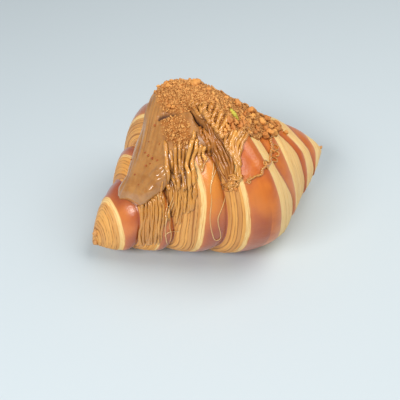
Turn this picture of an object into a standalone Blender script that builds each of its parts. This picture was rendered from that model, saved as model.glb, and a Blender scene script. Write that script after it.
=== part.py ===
"""A fat rolled croissant with caramel poured over its ridge and crumbs on the caramel.

Metres, +Z up. The roll runs along X, its front faces -Y, and it stands on Z = 0 with the origin
under its middle. An angle on the roll is 0 at the front, 90 on the ridge, 180 at the back and
270 underneath. A place on the roll is its distance along X and that angle.
"""

import math
import random
from collections import namedtuple

import bmesh
import bpy
import numpy as np
from mathutils import Matrix, Vector

MM = 0.001
TINY = 1e-9

# Driving dimensions.
LENGTH = 140 * MM
WIDTH = 101 * MM
HEIGHT = 82 * MM
SOLE_SINK = 1.5 * MM

# The form of the roll. LEFT is the -X end and RIGHT the +X end.
LEFT = -1
RIGHT = 1
TAPER = {LEFT: 1.52, RIGHT: 1.29}
FULLNESS = 0.91
HEIGHT_FULLNESS = 0.80
NOSE_BLUNTNESS = {LEFT: 1.2, RIGHT: 1.05}
NOSE_START = {LEFT: 57.7 * MM, RIGHT: 56.8 * MM}
TIP_LIFT = {LEFT: 10.3 * MM, RIGHT: 25.8 * MM}
TIP_BEND = {LEFT: -2.8 * MM, RIGHT: 1.1 * MM}
BELLY_HEIGHT = 0.42
SECTION_POWER = 2.2
SPIRAL_LEAN = -5.1 * MM
SKEW = 0.22
UNEVENNESS = 0.7 * MM
# How much fuller or flatter the dough is, in mm, low in front and high behind:
# (angle, x of the first height in mm, heights every BULGE_STEP).
BULGES = (
    (-30, -60, (0.5, -3.0, -2.7, -2.5, 0.6, 0.6, 0.4, -1.5, -2.5, -3.0)),
    (128, -48, (-2.0, 3.0, 4.5, 3.1, -0.1, 2.3, 1.4, 1.0, 4.5, 4.0)),
)
BULGE_STEP = 12 * MM
BULGE_REACH = 11 * MM
SMALLEST_GROWTH = 0.1
SOLE_RELIEF = 0.25
SOLE_FADE = 0.35
EDGE_ROUNDNESS = 2.2

# Each wrap of dough: the rim where its baked skin ends and the crease where the next wrap comes
# out from under it, both in mm out from the middle at the four BORDER_ANGLES, the depth of that
# crease, the number of layers cut open between the two and the depth of the grooves between them.
# The last crease of each end is its tip.
BORDER_ANGLES = (0, 45, 90, 150)
Wrap = namedtuple("Wrap", "rim crease depth layers groove")
WRAPS = {
    LEFT: (
        Wrap((9.6, 10.1, 10.1, 5.0), (16.6, 17.2, 18.0, 12.0), 4.6 * MM, 4, 0.55 * MM),
        Wrap((27.0, 24.6, 25.0, 24.0), (36.2, 38.0, 38.0, 36.5), 5.0 * MM, 6, 0.6 * MM),
        Wrap((43.0, 41.2, 42.4, 44.0), (50.2, 49.4, 50.2, 49.9), 4.0 * MM, 4, 0.45 * MM),
        Wrap((56.6, 57.2, 57.8, 60.0), (70, 70, 70, 70), 0.0, 5, 0.4 * MM),
    ),
    RIGHT: (
        Wrap((7.7, 7.4, 8.0, 7.7), (27.0, 19.5, 18.0, 18.0), 1.7 * MM, 2, 0.3 * MM),
        Wrap((30.0, 28.2, 30.8, 30.0), (45.0, 43.6, 38.5, 38.0), 1.5 * MM, 2, 0.35 * MM),
        Wrap((46.0, 47.6, 42.0, 42.0), (57.2, 56.2, 54.4, 54.4), 1.1 * MM, 1, 0.0),
        Wrap((57.5, 59.6, 58.8, 59.0), (70, 70, 70, 70), 0.0, 2, 0.2 * MM),
    ),
}
MIDDLE = -1.7 * MM
ROWS_PER_LAYER = 3
SKIN_ROWS = 3
COLUMNS = 36

# The poured caramel: its front and back edge and its thickness along the roll.
# Each station is (mm along X, front angle, back angle, thickness in mm).
POUR_STATIONS = (
    (-55.0, 80, 87, 1.6),
    (-53.8, 75, 93, 2.8),
    (-52.3, 69, 95, 3.4),
    (-50.5, 57, 96, 3.8),
    (-48.5, 50, 97, 4.0),
    (-46.0, 51, 101, 4.2),
    (-43.0, 53, 105, 4.2),
    (-39.0, 55, 107, 4.2),
    (-34.0, 57, 109, 4.0),
    (-30.0, 58, 114, 3.9),
    (-25.0, 59, 120, 3.6),
    (-17.0, 62, 130, 3.4),
    (-8.0, 62, 138, 3.4),
    (4.0, 64, 137, 3.4),
    (14.0, 62, 128, 3.2),
    (24.0, 62, 116, 3.0),
    (32.0, 66, 104, 2.6),
    (38.0, 71, 95, 2.0),
    (42.0, 77, 88, 1.3),
)
POUR_ROWS = 40
POUR_COLUMNS = 17
POUR_EDGE_POWER = 2.8
POUR_SAG = 0.5
SAG_REACH = 7 * MM
SAG_SAMPLES = 9
POUR_ROOT = 2.5 * MM
# Where the crumb bed begins, as (mm along X, angle).
BED_FRONT = ((-27, 99), (-19, 91), (-5, 88), (1, 80), (5, 68), (25, 66), (32, 70), (40, 76))
CRUMB_ROUGHNESS = 0.9 * MM
CRUMBED_SINK = 0.8 * MM

# Drizzle: flat bundles of strands, each through (mm along X, angle) places down the front.
Bundle = namedtuple("Bundle", "places width strands height")
BUNDLES = (
    Bundle(((-31, 80), (-33, 68), (-35, 55), (-37.5, 42), (-39.5, 28), (-40.5, 12)), 8.0 * MM, 4, 1.5 * MM),
    Bundle(((-22, 76), (-26, 66), (-29.5, 54), (-32, 42), (-34, 28), (-35, 14)), 6.5 * MM, 4, 1.4 * MM),
    Bundle(((-15, 82), (-18, 70), (-18.5, 58), (-17.5, 48), (-17, 36)), 5.5 * MM, 3, 1.5 * MM),
    Bundle(((-4, 88), (-9.5, 79), (-13, 69), (-13.5, 54), (-14, 37)), 5.5 * MM, 3, 2.0 * MM),
    Bundle(((1, 68), (-4.5, 63), (-8.5, 58), (-11, 51), (-12.5, 44)), 5.0 * MM, 3, 1.5 * MM),
    Bundle(((-19, 92), (-20.5, 86), (-21, 80), (-19.5, 74)), 3.8 * MM, 2, 2.2 * MM),
    Bundle(((-45, 53), (-46.5, 42), (-47.5, 28), (-48, 12), (-48, -2)), 7.0 * MM, 4, 0.9 * MM),
)
BUNDLE_STATIONS = (8, 11)
VALLEY_SHARE = 0.45
END_WIDTH = 0.55
THREAD = ((24.7, 68), (19.9, 57), (13.5, 49), (9, 44.5), (3.3, 42), (-1.1, 39), (-4.7, 38), (-8.5, 38))
THREAD_RADIUS = 1.0 * MM
THREAD_SIDES = 6
THREAD_STATIONS = 20
THREAD_SWELLING = (0.95, 1.25, 0.95)
THREAD_LIFT = 0.6

# Crumb lumps as (mm along X, angle, radius in mm): the large ones by hand, the rest by a rule.
LARGE_LUMPS = (
    (7, 112, 2.4),
    (21, 100, 2.0),
    (29, 84, 2.4),
    (36, 82, 2.4),
    (-16, 37, 2.0),
    (-13, 36, 2.0),
)
SMALL_LUMPS = 32
SMALL_LUMP_RADIUS = (1.3 * MM, 2.1 * MM)
SMALL_LUMP_REACH = (-22 * MM, 37 * MM)
LUMP_MARGINS = (3, 7)
LUMP_SPACING = 5 * MM
LUMP_SINK = 0.25
LUMP_ROUGHNESS = 0.22
BED_HEIGHT = 2.9 * MM
CLUMP_HEIGHT = 2.0 * MM
SEED = 7

GAP = 0.45 * MM
CUTTER_ROWS_PER_EDGE = 6

PASTRY_COLOUR = (0.62, 0.26, 0.08, 1.0)
PASTRY_ROUGHNESS = 0.38
CARAMEL_COLOUR = (0.52, 0.25, 0.06, 1.0)
CARAMEL_ROUGHNESS = 0.25


def signed_power(value, power):
    return np.sign(value) * np.abs(value) ** power


def smooth_route(places, count):
    """Points evenly spread along the Catmull-Rom curve through places."""
    knots = np.array(places, float)
    knots = np.vstack([2 * knots[0] - knots[1], knots, 2 * knots[-1] - knots[-2]])
    at = np.linspace(0, len(places) - 1, count)
    index = np.minimum(at.astype(int), len(places) - 2)
    u = (at - index)[:, None]
    before, start, end, after = (knots[index + k] for k in range(4))
    return 0.5 * (
        2 * start
        + (end - before) * u
        + (2 * before - 5 * start + 4 * end - after) * u**2
        + (3 * start - before - 3 * end + after) * u**3
    )


# The roll ---------------------------------------------------------------------------------------


def swell(x):
    """The share of the full girth at x: a tapered roll whose two noses are round."""
    x = np.asarray(x, float)
    result = np.empty_like(x)
    for side in (LEFT, RIGHT):
        chosen = (x < 0) == (side == LEFT)
        start = NOSE_START[side]
        out = np.abs(x[chosen])
        body = (1 - (np.minimum(out, start) / (LENGTH / 2)) ** TAPER[side]) ** FULLNESS
        nose = np.clip((out - start) / (LENGTH / 2 - start), 0, 1)
        bluntness = NOSE_BLUNTNESS[side]
        result[chosen] = body * (1 - nose**bluntness) ** (1 / bluntness)
    return result


def end_value(x, values):
    return np.where(x < 0, values[LEFT], values[RIGHT])


def unevenness(x, angle):
    """Slow waves over the dough, and its fuller and flatter places."""
    waves = np.sin(3 * angle + x / (8 * MM)) + 0.6 * np.sin(5 * angle - x / (13 * MM))
    result = UNEVENNESS * waves
    for degrees, first, heights in BULGES:
        facing = np.maximum(np.cos(angle - math.radians(degrees)), 0) ** 2
        for number, height in enumerate(heights):
            away = (x - first * MM - number * BULGE_STEP) / BULGE_REACH
            result = result + height * MM * facing * np.exp(-(away**2))
    return result


def roll_point(x, angle, lift):
    """Points on the roll at x and angle (radians), moved outward in their section by lift."""
    x, angle, lift = np.broadcast_arrays(np.asarray(x, float), angle, lift)
    girth = swell(x)
    out = np.abs(x) / (LENGTH / 2)
    height = HEIGHT * girth**HEIGHT_FULLNESS
    cosine = signed_power(np.cos(angle), 2 / SECTION_POWER)
    sine = signed_power(np.sin(angle), 2 / SECTION_POWER)
    half_height = np.where(sine > 0, 1 - BELLY_HEIGHT, BELLY_HEIGHT) * height
    across = WIDTH / 2 * girth * cosine
    rise = half_height * sine
    radius = np.maximum(np.hypot(across, rise), TINY)
    grow = np.maximum(1 + (lift + unevenness(x, angle) * girth) / radius, SMALLEST_GROWTH)
    y = end_value(x, TIP_BEND) * out**2 - across * grow
    z = end_value(x, TIP_LIFT) * out**3 + height * BELLY_HEIGHT + rise * grow - SOLE_SINK
    lean = SPIRAL_LEAN * np.sin(angle) * np.sign(x) * np.minimum(4 * out, 1) * girth
    along = x + lean - SKEW * y * girth
    return np.stack([along, y, z], axis=-1)


def borders_at(side, angle):
    """How far out the middle, each rim and crease and the tip lie at an angle in degrees."""
    places = [(MIDDLE * side / MM,) * 4]
    for wrap in WRAPS[side]:
        places += [wrap.rim, wrap.crease]
    at = np.interp(np.asarray(angle) % 360, (*BORDER_ANGLES, 360), np.arange(5))
    low = at.astype(int)
    step = at - low
    share = step * step * (3 - 2 * step)
    table = np.array([(*place, place[0], place[0]) for place in places]) * MM
    return table[:, low] * (1 - share) + table[:, low + 1] * share


# A row of the roll: the border it follows, its share of the way to the next one, and its depth.
Row = namedtuple("Row", "side border share depth")


def half_profile(side, layered):
    """Rows from the middle of the roll out to one tip."""
    rows = []
    start_depth = 0.0
    for number, wrap in enumerate(WRAPS[side]):
        for share in np.linspace(0, 1, SKIN_ROWS, endpoint=False):
            rows.append(Row(side, 2 * number, share, -start_depth * (1 - share) ** 2))
        tip = wrap is WRAPS[side][-1]
        count = wrap.layers * ROWS_PER_LAYER + 1 if layered else CUTTER_ROWS_PER_EDGE
        for index in range(count if tip else count - 1):
            even = index / (count if tip else count - 1)
            share = even if layered and not tip else math.sin(math.pi / 2 * even)
            drop = 1 - (1 - share**EDGE_ROUNDNESS) ** (1 / EDGE_ROUNDNESS)
            low = layered and index % ROWS_PER_LAYER == 1
            rows.append(Row(side, 2 * number + 1, share, -wrap.depth * drop - low * wrap.groove))
        start_depth = wrap.depth
    return rows


def profile(layered):
    return np.array(half_profile(LEFT, layered)[::-1] + half_profile(RIGHT, layered)[1:])


def row_x(rows, angle):
    """The x of each row at angles in degrees."""
    result = np.empty((len(rows), len(angle)))
    for side in (LEFT, RIGHT):
        chosen = rows[:, 0] == side
        border = rows[chosen, 1].astype(int)
        share = rows[chosen, 2][:, None]
        places = borders_at(side, angle)
        result[chosen] = side * (places[border] * (1 - share) + places[border + 1] * share)
    return result


def front_x(x, angle):
    """Where a place at x and angle (degrees) would lie if it were moved round to the front."""
    side = LEFT if x < MIDDLE else RIGHT
    here = borders_at(side, angle)
    return side * float(np.interp(side * x, here, borders_at(side, 0)))


def relief_at(x, angle):
    """The depth of the wraps at x and angle (degrees), without the grooves between layers."""
    rows = profile(False)
    return float(np.interp(front_x(x, angle), row_x(rows, np.array([0.0]))[:, 0], rows[:, 3]))


def sag_at(x, angle):
    """How far caramel sinks between the wraps: a share of their mean depth around the place."""
    near = x + np.linspace(-SAG_REACH, SAG_REACH, SAG_SAMPLES)
    return POUR_SAG * np.mean([relief_at(place, angle) for place in near])


def roll_mesh(layered, lift, lowest):
    """A closed mesh of the whole roll. Its underside is pressed flat at the height lowest."""
    rows = profile(layered)
    angles = np.arange(COLUMNS) * 2 * math.pi / COLUMNS
    fade = np.clip((1 + np.sin(angles)) / SOLE_FADE, SOLE_RELIEF, 1)
    depth = rows[:, 3:] * fade[None, :]
    points = roll_point(row_x(rows, np.degrees(angles)), angles[None, :], depth + lift)
    ends = [roll_point(side * (LENGTH / 2 + lift), 0.0, 0.0) for side in (LEFT, RIGHT)]
    points[..., 2] = np.maximum(points[..., 2], lowest)
    mesh = bmesh.new()
    rings = [[mesh.verts.new(point) for point in ring] for ring in points]
    left_tip, right_tip = (mesh.verts.new(end.reshape(3)) for end in ends)
    for ring, following in zip(rings, rings[1:]):
        for column in range(COLUMNS):
            beside = (column + 1) % COLUMNS
            mesh.faces.new((ring[column], ring[beside], following[beside], following[column]))
    for column in range(COLUMNS):
        beside = (column + 1) % COLUMNS
        mesh.faces.new((left_tip, rings[0][beside], rings[0][column]))
        mesh.faces.new((right_tip, rings[-1][column], rings[-1][beside]))
    bmesh.ops.triangulate(mesh, faces=mesh.faces)
    bmesh.ops.recalc_face_normals(mesh, faces=mesh.faces)
    return mesh


# The topping ------------------------------------------------------------------------------------


def loft(sections):
    """A closed mesh through rings of points, with both ends filled."""
    mesh = bmesh.new()
    rings = [[mesh.verts.new(point) for point in section] for section in sections]
    count = len(rings[0])
    for ring, following in zip(rings, rings[1:]):
        for index in range(count):
            beside = (index + 1) % count
            mesh.faces.new((ring[index], ring[beside], following[beside], following[index]))
    mesh.faces.new(rings[0][::-1])
    mesh.faces.new(rings[-1])
    bmesh.ops.triangulate(mesh, faces=mesh.faces)
    bmesh.ops.recalc_face_normals(mesh, faces=mesh.faces)
    return mesh


def bed_front(x):
    """The angle at which the crumb bed begins at x."""
    return float(np.interp(x / MM, *zip(*BED_FRONT)))


def pour_mesh(draw):
    """The poured sheet: a low mound between its front and back edge, rough where crumbs lie."""
    stations = smooth_route(POUR_STATIONS, POUR_ROWS)
    sections = []
    for x, front, back, thickness in stations:
        x, thickness = x * MM, thickness * MM
        across = np.linspace(-1, 1, POUR_COLUMNS)
        angles = front + (back - front) * (across + 1) / 2
        mound = thickness * (1 - np.abs(across) ** POUR_EDGE_POWER) ** 0.5
        crumbed = (x > BED_FRONT[0][0] * MM) & (angles > bed_front(x)) & (np.abs(across) < 1)
        rough = np.array([draw.uniform(-1, 1) for _ in across]) * CRUMB_ROUGHNESS * crumbed
        sag = np.array([sag_at(x, angle) for angle in angles])
        low = np.array([relief_at(x, angle) for angle in angles[::-1]])
        top = roll_point(x, np.radians(angles), sag + mound - CRUMBED_SINK * crumbed + rough)
        root = roll_point(x, np.radians(angles[::-1]), low - POUR_ROOT)
        sections.append(np.vstack([top, root]))
    return loft(sections)


def bundle_mesh(bundle):
    """A flat bundle of strands side by side, which lies along its route over the wraps."""
    short, long = BUNDLE_STATIONS
    route = smooth_route(bundle.places, long if bundle.strands == max(b.strands for b in BUNDLES) else short)
    centres = route_points(route, 0.0)
    steps = 2 * bundle.strands + 1
    sections = []
    for index, (x, angle) in enumerate(route):
        along = centres[min(index + 1, len(route) - 1)] - centres[max(index - 1, 0)]
        outward = roll_point(x * MM, math.radians(angle), 2 * MM) - roll_point(x * MM, math.radians(angle), 0)
        outward /= np.linalg.norm(outward)
        sideways = np.cross(outward, along)
        sideways /= np.linalg.norm(sideways)
        narrow = END_WIDTH if index == len(route) - 1 else 1.0
        offsets = np.linspace(-0.5, 0.5, steps) * bundle.width * narrow
        heights = bundle.height * np.where(np.arange(steps) % 2 == 1, 1, VALLEY_SHARE)
        top = centres[index] + offsets[:, None] * sideways + heights[:, None] * outward
        root = centres[index] + np.outer(offsets[[-1, 0]], sideways) - POUR_ROOT * outward
        sections.append(np.vstack([top, root]))
    return loft(sections)


def route_points(route, lift):
    """Places along a route turned into points that sag a little where they cross a crease."""
    return np.array(
        [
            roll_point(x * MM, math.radians(angle), lift + sag_at(x * MM, angle)).reshape(3)
            for x, angle in route
        ]
    )


def thread_mesh():
    """One lumpy thread, round in section."""
    route = smooth_route(THREAD, THREAD_STATIONS)
    centres = route_points(route, THREAD_RADIUS * THREAD_LIFT)
    sections = []
    for index, centre in enumerate(centres):
        along = Vector(centres[min(index + 1, len(centres) - 1)] - centres[max(index - 1, 0)])
        turn = along.to_track_quat("Z", "Y")
        radius = THREAD_RADIUS * THREAD_SWELLING[index % 3]
        ring = []
        for side in range(THREAD_SIDES):
            angle = 2 * math.pi * side / THREAD_SIDES
            around = Vector((radius * math.cos(angle), radius * math.sin(angle), 0))
            ring.append(Vector(centre) + turn @ around)
        sections.append(ring)
    return loft(sections)


def lump_mesh(x, angle, radius, draw):
    """A rough crumb lump, sunk a little into what it lies on."""
    ground = sag_at(x, angle) + (BED_HEIGHT if angle > bed_front(x) else CLUMP_HEIGHT)
    centre = roll_point(x, math.radians(angle), ground - LUMP_SINK * radius).reshape(3)
    mesh = bmesh.new()
    bmesh.ops.create_icosphere(mesh, subdivisions=1, radius=radius, matrix=Matrix.Translation(centre))
    for vert in mesh.verts:
        vert.co += Vector([draw.uniform(-1, 1) * LUMP_ROUGHNESS * radius for _ in range(3)])
    return mesh


def lump_places(draw):
    """The large lumps, then small ones drawn over the crumb bed with room between them."""
    places = [(x * MM, angle, radius * MM) for x, angle, radius in LARGE_LUMPS]
    stations, _, backs, _ = zip(*POUR_STATIONS)
    while len(places) < len(LARGE_LUMPS) + SMALL_LUMPS:
        x = draw.uniform(*SMALL_LUMP_REACH)
        back = float(np.interp(x / MM, stations, backs))
        angle = draw.uniform(bed_front(x) + LUMP_MARGINS[0], back - LUMP_MARGINS[1])
        apart = [math.hypot(x - other[0], math.radians(angle - other[1]) * HEIGHT / 2) for other in places]
        if min(apart) > LUMP_SPACING:
            places.append((x, angle, draw.uniform(*SMALL_LUMP_RADIUS)))
    return places


# Objects ----------------------------------------------------------------------------------------


def material(name, colour, roughness):
    made = bpy.data.materials.new(name)
    made.use_nodes = True
    shader = made.node_tree.nodes["Principled BSDF"]
    shader.inputs["Base Color"].default_value = colour
    shader.inputs["Roughness"].default_value = roughness
    shader.inputs["Metallic"].default_value = 0.0
    return made


def add_object(name, mesh, collection=None):
    data = bpy.data.meshes.new(name)
    mesh.to_mesh(data)
    mesh.free()
    made = bpy.data.objects.new(name, data)
    (collection or bpy.context.scene.collection).objects.link(made)
    return made


def apply_modifiers(made):
    bpy.context.view_layer.update()
    evaluated = made.evaluated_get(bpy.context.evaluated_depsgraph_get())
    data = bpy.data.meshes.new_from_object(evaluated)
    made.modifiers.clear()
    made.data = data


def keep_largest_body(made):
    """Drops the loose scraps that a cut leaves beside the main body."""
    mesh = bmesh.new()
    mesh.from_mesh(made.data)
    left = set(mesh.verts)
    bodies = []
    while left:
        body = {left.pop()}
        edge_of_search = set(body)
        while edge_of_search:
            near = {edge.other_vert(vert) for vert in edge_of_search for edge in vert.link_edges}
            edge_of_search = near & left
            body |= edge_of_search
            left -= edge_of_search
        bodies.append(body)
    bodies.sort(key=len)
    for body in bodies[:-1]:
        bmesh.ops.delete(mesh, geom=list(body), context="VERTS")
    bmesh.ops.triangulate(mesh, faces=mesh.faces)
    mesh.to_mesh(made.data)
    mesh.free()


def make_croissant():
    made = add_object("croissant", roll_mesh(True, 0.0, 0.0))
    made.data.materials.append(material("pastry", PASTRY_COLOUR, PASTRY_ROUGHNESS))
    return made


def make_caramel():
    """The pour, drizzle and crumb lumps as one body that lies just clear of the pastry."""
    draw = random.Random(SEED)
    made = add_object("caramel_topping", pour_mesh(draw))
    pieces = bpy.data.collections.new("caramel_pieces")
    bpy.context.scene.collection.children.link(pieces)
    for index, bundle in enumerate(BUNDLES):
        add_object(f"bundle_{index}", bundle_mesh(bundle), pieces)
    add_object("thread", thread_mesh(), pieces)
    for index, (x, angle, radius) in enumerate(lump_places(draw)):
        add_object(f"lump_{index}", lump_mesh(x, angle, radius, draw), pieces)

    union = made.modifiers.new("union", "BOOLEAN")
    union.operation = "UNION"
    union.operand_type = "COLLECTION"
    union.collection = pieces
    union.solver = "MANIFOLD"
    apply_modifiers(made)
    for piece in list(pieces.objects):
        bpy.data.objects.remove(piece)
    bpy.data.collections.remove(pieces)

    cutter = add_object("pastry_clearance", roll_mesh(False, GAP, -GAP))
    clear = made.modifiers.new("clear_of_pastry", "BOOLEAN")
    clear.operation = "DIFFERENCE"
    clear.object = cutter
    clear.solver = "MANIFOLD"
    apply_modifiers(made)
    bpy.data.objects.remove(cutter)
    keep_largest_body(made)
    made.data.materials.clear()
    made.data.materials.append(material("caramel", CARAMEL_COLOUR, CARAMEL_ROUGHNESS))
    return made


def main():
    for old in list(bpy.data.objects):
        bpy.data.objects.remove(old)
    for made in (make_croissant(), make_caramel()):
        made.data.shade_smooth()
        made.data.set_sharp_from_angle(angle=math.radians(35))


main()
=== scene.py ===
"""The looks of a croissant with poured and drizzled caramel and biscuit crumbs.

The pieces follow the same roll as the solids. A place on it is its distance along X and its angle
round the roll: 0 at the front, 90 on the ridge, 180 at the back and 270 underneath. The tables
give places as (mm along X, degrees); the functions take metres and degrees, except where they
say radians.
"""

import math
import random
from collections import namedtuple

import bmesh
import bpy
import numpy as np
from mathutils import Matrix, Vector, noise


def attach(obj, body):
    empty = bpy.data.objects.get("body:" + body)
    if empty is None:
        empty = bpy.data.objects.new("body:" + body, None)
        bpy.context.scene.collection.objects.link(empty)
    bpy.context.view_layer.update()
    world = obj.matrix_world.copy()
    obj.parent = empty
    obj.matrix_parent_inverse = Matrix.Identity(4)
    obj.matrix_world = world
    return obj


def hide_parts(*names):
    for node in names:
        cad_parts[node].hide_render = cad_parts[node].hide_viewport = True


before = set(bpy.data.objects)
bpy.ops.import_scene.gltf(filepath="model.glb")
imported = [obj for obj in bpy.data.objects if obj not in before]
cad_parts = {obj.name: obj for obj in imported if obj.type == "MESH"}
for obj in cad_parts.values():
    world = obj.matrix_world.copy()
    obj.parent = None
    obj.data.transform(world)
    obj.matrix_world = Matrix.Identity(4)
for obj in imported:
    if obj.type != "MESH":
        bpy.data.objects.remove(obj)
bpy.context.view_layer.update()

MM = 0.001
TINY = 1e-9
SEED = 7

# The roll, with the sizes of the solids.
LENGTH = 140 * MM
WIDTH = 101 * MM
HEIGHT = 82 * MM
SOLE_SINK = 1.5 * MM
LEFT = -1
RIGHT = 1
TAPER = {LEFT: 1.52, RIGHT: 1.29}
FULLNESS = 0.91
HEIGHT_FULLNESS = 0.80
NOSE_BLUNTNESS = {LEFT: 1.2, RIGHT: 1.05}
TIP_LIFT = {LEFT: 10.3 * MM, RIGHT: 25.8 * MM}
TIP_BEND = {LEFT: -2.8 * MM, RIGHT: 1.1 * MM}
BELLY_HEIGHT = 0.42
SECTION_POWER = 2.2
SPIRAL_LEAN = -5.1 * MM
SKEW = 0.22
UNEVENNESS = 0.7 * MM
# How much fuller or flatter the dough is, in mm, low in front and high behind:
# (angle, x of the first height in mm, heights every BULGE_STEP).
BULGES = (
    (-30, -60, (0.5, -3.0, -2.7, -2.5, 0.6, 0.6, 0.4, -1.5, -2.5, -3.0)),
    (128, -48, (-2.0, 3.0, 4.5, 3.1, -0.1, 2.3, 1.4, 1.0, 4.5, 4.0)),
)
BULGE_STEP = 12 * MM
BULGE_REACH = 11 * MM
SMALLEST_GROWTH = 0.1
SOLE_RELIEF = 0.25
SOLE_FADE = 0.35
EDGE_ROUNDNESS = 2.2
# How far the rows on a cut face follow a quarter circle, where it doesn't end at a tip.
ARC_SHARE = 0.4
MIDDLE = -1.7 * MM
MIDDLE_BLEND = 12 * MM
MIDDLE_SHIFTS = (-5 * MM, -2.5 * MM, 0.0, 2.5 * MM, 5 * MM)

# Each wrap, in mm: how far out its rim and its crease lie at the four BORDER_ANGLES; the depth of
# the crease; and of its cut face the plain pale band beside the rim, the distance between cut
# layers and the depth of the gaps between them. Then how toasted its layers are and how warm an
# orange its skin is, from 0 to 1: partly its own orange and partly painted light, brighter on its
# upper side.
BORDER_ANGLES = (0, 45, 90, 150)
Wrap = namedtuple("Wrap", "rim crease depth band pitch gap toast warmth")
WRAPS = {
    LEFT: (
        Wrap((9.6, 10.1, 10.1, 5.0), (16.6, 17.2, 18.0, 12.0), 4.6, 2.0, 1.05, 0.45, 0.75, 0.0),
        Wrap((27.0, 24.6, 25.5, 30.0), (36.2, 38.0, 38.0, 37.5), 5.0, 2.2, 1.10, 0.45, 0.7, 0.9),
        Wrap((43.0, 41.2, 42.4, 44.0), (50.2, 49.4, 50.2, 49.9), 4.0, 0.9, 0.95, 0.45, 0.8, 0.2),
        Wrap((56.6, 57.2, 57.8, 60.0), (70, 70, 70, 70), 0.0, 2.2, 0.95, 0.42, 0.65, 0.0),
    ),
    RIGHT: (
        Wrap((7.2, 7.0, 7.5, 7.7), (27.6, 18.3, 16.4, 16.4), 1.7, 4.5, 2.6, 0.18, 0.12, 0.1),
        Wrap((30.6, 28.4, 30.2, 30.0), (44.8, 42.8, 34.6, 34.4), 1.5, 2.4, 2.1, 0.22, 0.22, 0.1),
        Wrap((46.6, 47.4, 40.5, 40.0), (57.0, 55.4, 51.0, 50.4), 1.1, 3.0, 2.3, 0.18, 0.15, 0.0),
        Wrap((57.7, 60.6, 59.0, 58.5), (70, 70, 70, 70), 0.0, 5.0, 2.0, 0.18, 0.18, 0.1),
    ),
}
NOSE_START = {LEFT: 57.7 * MM, RIGHT: 56.8 * MM}
SKIN_STEP = 0.6 * MM
EDGE_STEP = {LEFT: 0.17 * MM, RIGHT: 0.3 * MM}
COLUMNS = 196
LAYER_SHAKE = 0.16 * MM
DEEP_GAP = 0.4 * MM
SKIN_RIPPLE = 0.12 * MM
# The skin is glossy up to GLOSS_END and nearly matte beyond. On the left it is painted darker, as
# painted shade on the sides turned from the light, with the degrees beyond a reach from the angle
# that faces the light; the last three values below give that angle, the reach and the fade.
GLOSS_END = -1 * MM
GLOSS_FADE = 8 * MM
MATTE_GLOSS = 0.2
LEFT_SHADE_FROM = 38
LEFT_SHADE_REACH = 20
LEFT_SHADE_FADE = 16
# How far past the last rim the very tips count as lying, and how long a radian round the full
# roll is, in mm.
TIP_PAST_RIM = 12
MM_PER_RADIAN = 45

# The poured caramel: (mm along X, front angle, back angle, thickness in mm).
POUR_STATIONS = (
    (-55, 80, 87, 1.6), (-53.8, 75, 93, 2.8), (-52.3, 69, 95, 3.4), (-50.5, 57, 96, 3.8),
    (-48.5, 50, 97, 4), (-46, 51, 103, 4.2), (-43, 53, 107.5, 4.2), (-39, 56, 110, 4.2),
    (-36, 62, 111, 4.2), (-33, 67, 113, 4), (-29, 69, 117, 3.9), (-25, 67, 121.5, 3.6),
    (-17, 65, 130, 3.4), (-8, 63.5, 138, 3.4), (4, 64, 137, 3.4), (14, 64, 128, 3.2),
    (24, 67.5, 116, 3), (32, 73, 104, 2.6), (38, 79, 95, 2), (42, 82.5, 90, 1.3),
)
POUR_ROWS = 260
POUR_COLUMNS = 96
POUR_EDGE_POWER = 2.8
POUR_INSIDE = 0.9999
POUR_SAG = 0.5
SAG_REACH = 7 * MM
SAG_SAMPLES = 9
POUR_ROOT = 1.6 * MM
CRUMBED_SINK = 1.7 * MM
# Places where the pour is fuller or hollow: (mm along X, angle, reach in mm, height in mm).
LOBES = (
    (-52.5, 78, 4, 0.9), (-46.5, 58, 6, 1.6), (-39.5, 68, 5, 1.1), (-42, 86, 7, 0.8),
    (-31, 98, 7, 0.5), (-45.6, 59.5, 3.1, 2.3), (-42.4, 64, 2.1, 1.4), (-39.4, 62.5, 2.3, 1.6),
    (-41.2, 70, 2.1, 1.6), (-38.4, 70.5, 1.9, 1.5), (-45, 70, 1.9, 1), (-37.2, 64.5, 1.4, 1.1),
    (-48.6, 66, 2.2, 0.9), (-43.6, 76, 2.4, 0.8), (-23.5, 99.5, 2.4, 1.3), (-19.8, 85.5, 2.4, 1.3),
    (-18.1, 82.5, 1.3, -1.6), (-17.8, 79.5, 1.3, -1.6), (-17.4, 76.5, 1.3, -1.5),
    (-16.1, 73.5, 1.3, -1.5), (-15, 71, 1.3, -1.4), (-14.6, 68, 1.3, -1.2), (-9, 77, 5.5, 1.3),
    (-25, 83, 4.5, 0.7),
)
# The slot in front of the crumbs and the crease left of the fan, in parts: (reach in mm, mm along
# X, angles). Both are sunk into the pour and painted dark as shade.
SLOTS = (
    (1.3, (-27.7, -26.6, -25.4, -24.3, -23.3, -22.3), (97.9, 96.9, 96.2, 95.3, 94.4, 93.1)),
    (0.65, (-16.2, -16.8, -17.3, -17.45, -17.5, -17.4, -17.2), (90.3, 88.6, 86.9, 85.7, 84.5, 83.4,
      82.3)),
    (0.6, (-17.2, -17.1, -16.9, -16.6), (81.3, 80.3, 79.3, 78.3)),
)
SLOT_DEPTH = 2.7 * MM
# How long a degree round the roll is on the pour, in mm.
MM_PER_DEGREE = 0.7
# The streaks of the flow turn back by FLOW_SLOPE degrees for each mm along X. The depths of the
# streaks and of the waves in front of them are in mm.
FLOW_SLOPE = 1.35
STREAK_DEPTH = 0.42
WAVE_DEPTH = 0.28
# Where the waves end and the streaks and their dark lines start, in degrees. The dark lines are
# painted shade in the grooves of the streaks.
WAVES_END = 84
WAVES_FADE = 10
STREAKS_START = 76
DARK_STREAKS_START = 74
STREAKS_FADE = 14
# The caramel shines fully left of SHINE_END, in mm along X, and less beyond.
SHINE_END = -28
SHINE_FADE = 6
DULL_SHINE = 0.3

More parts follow.
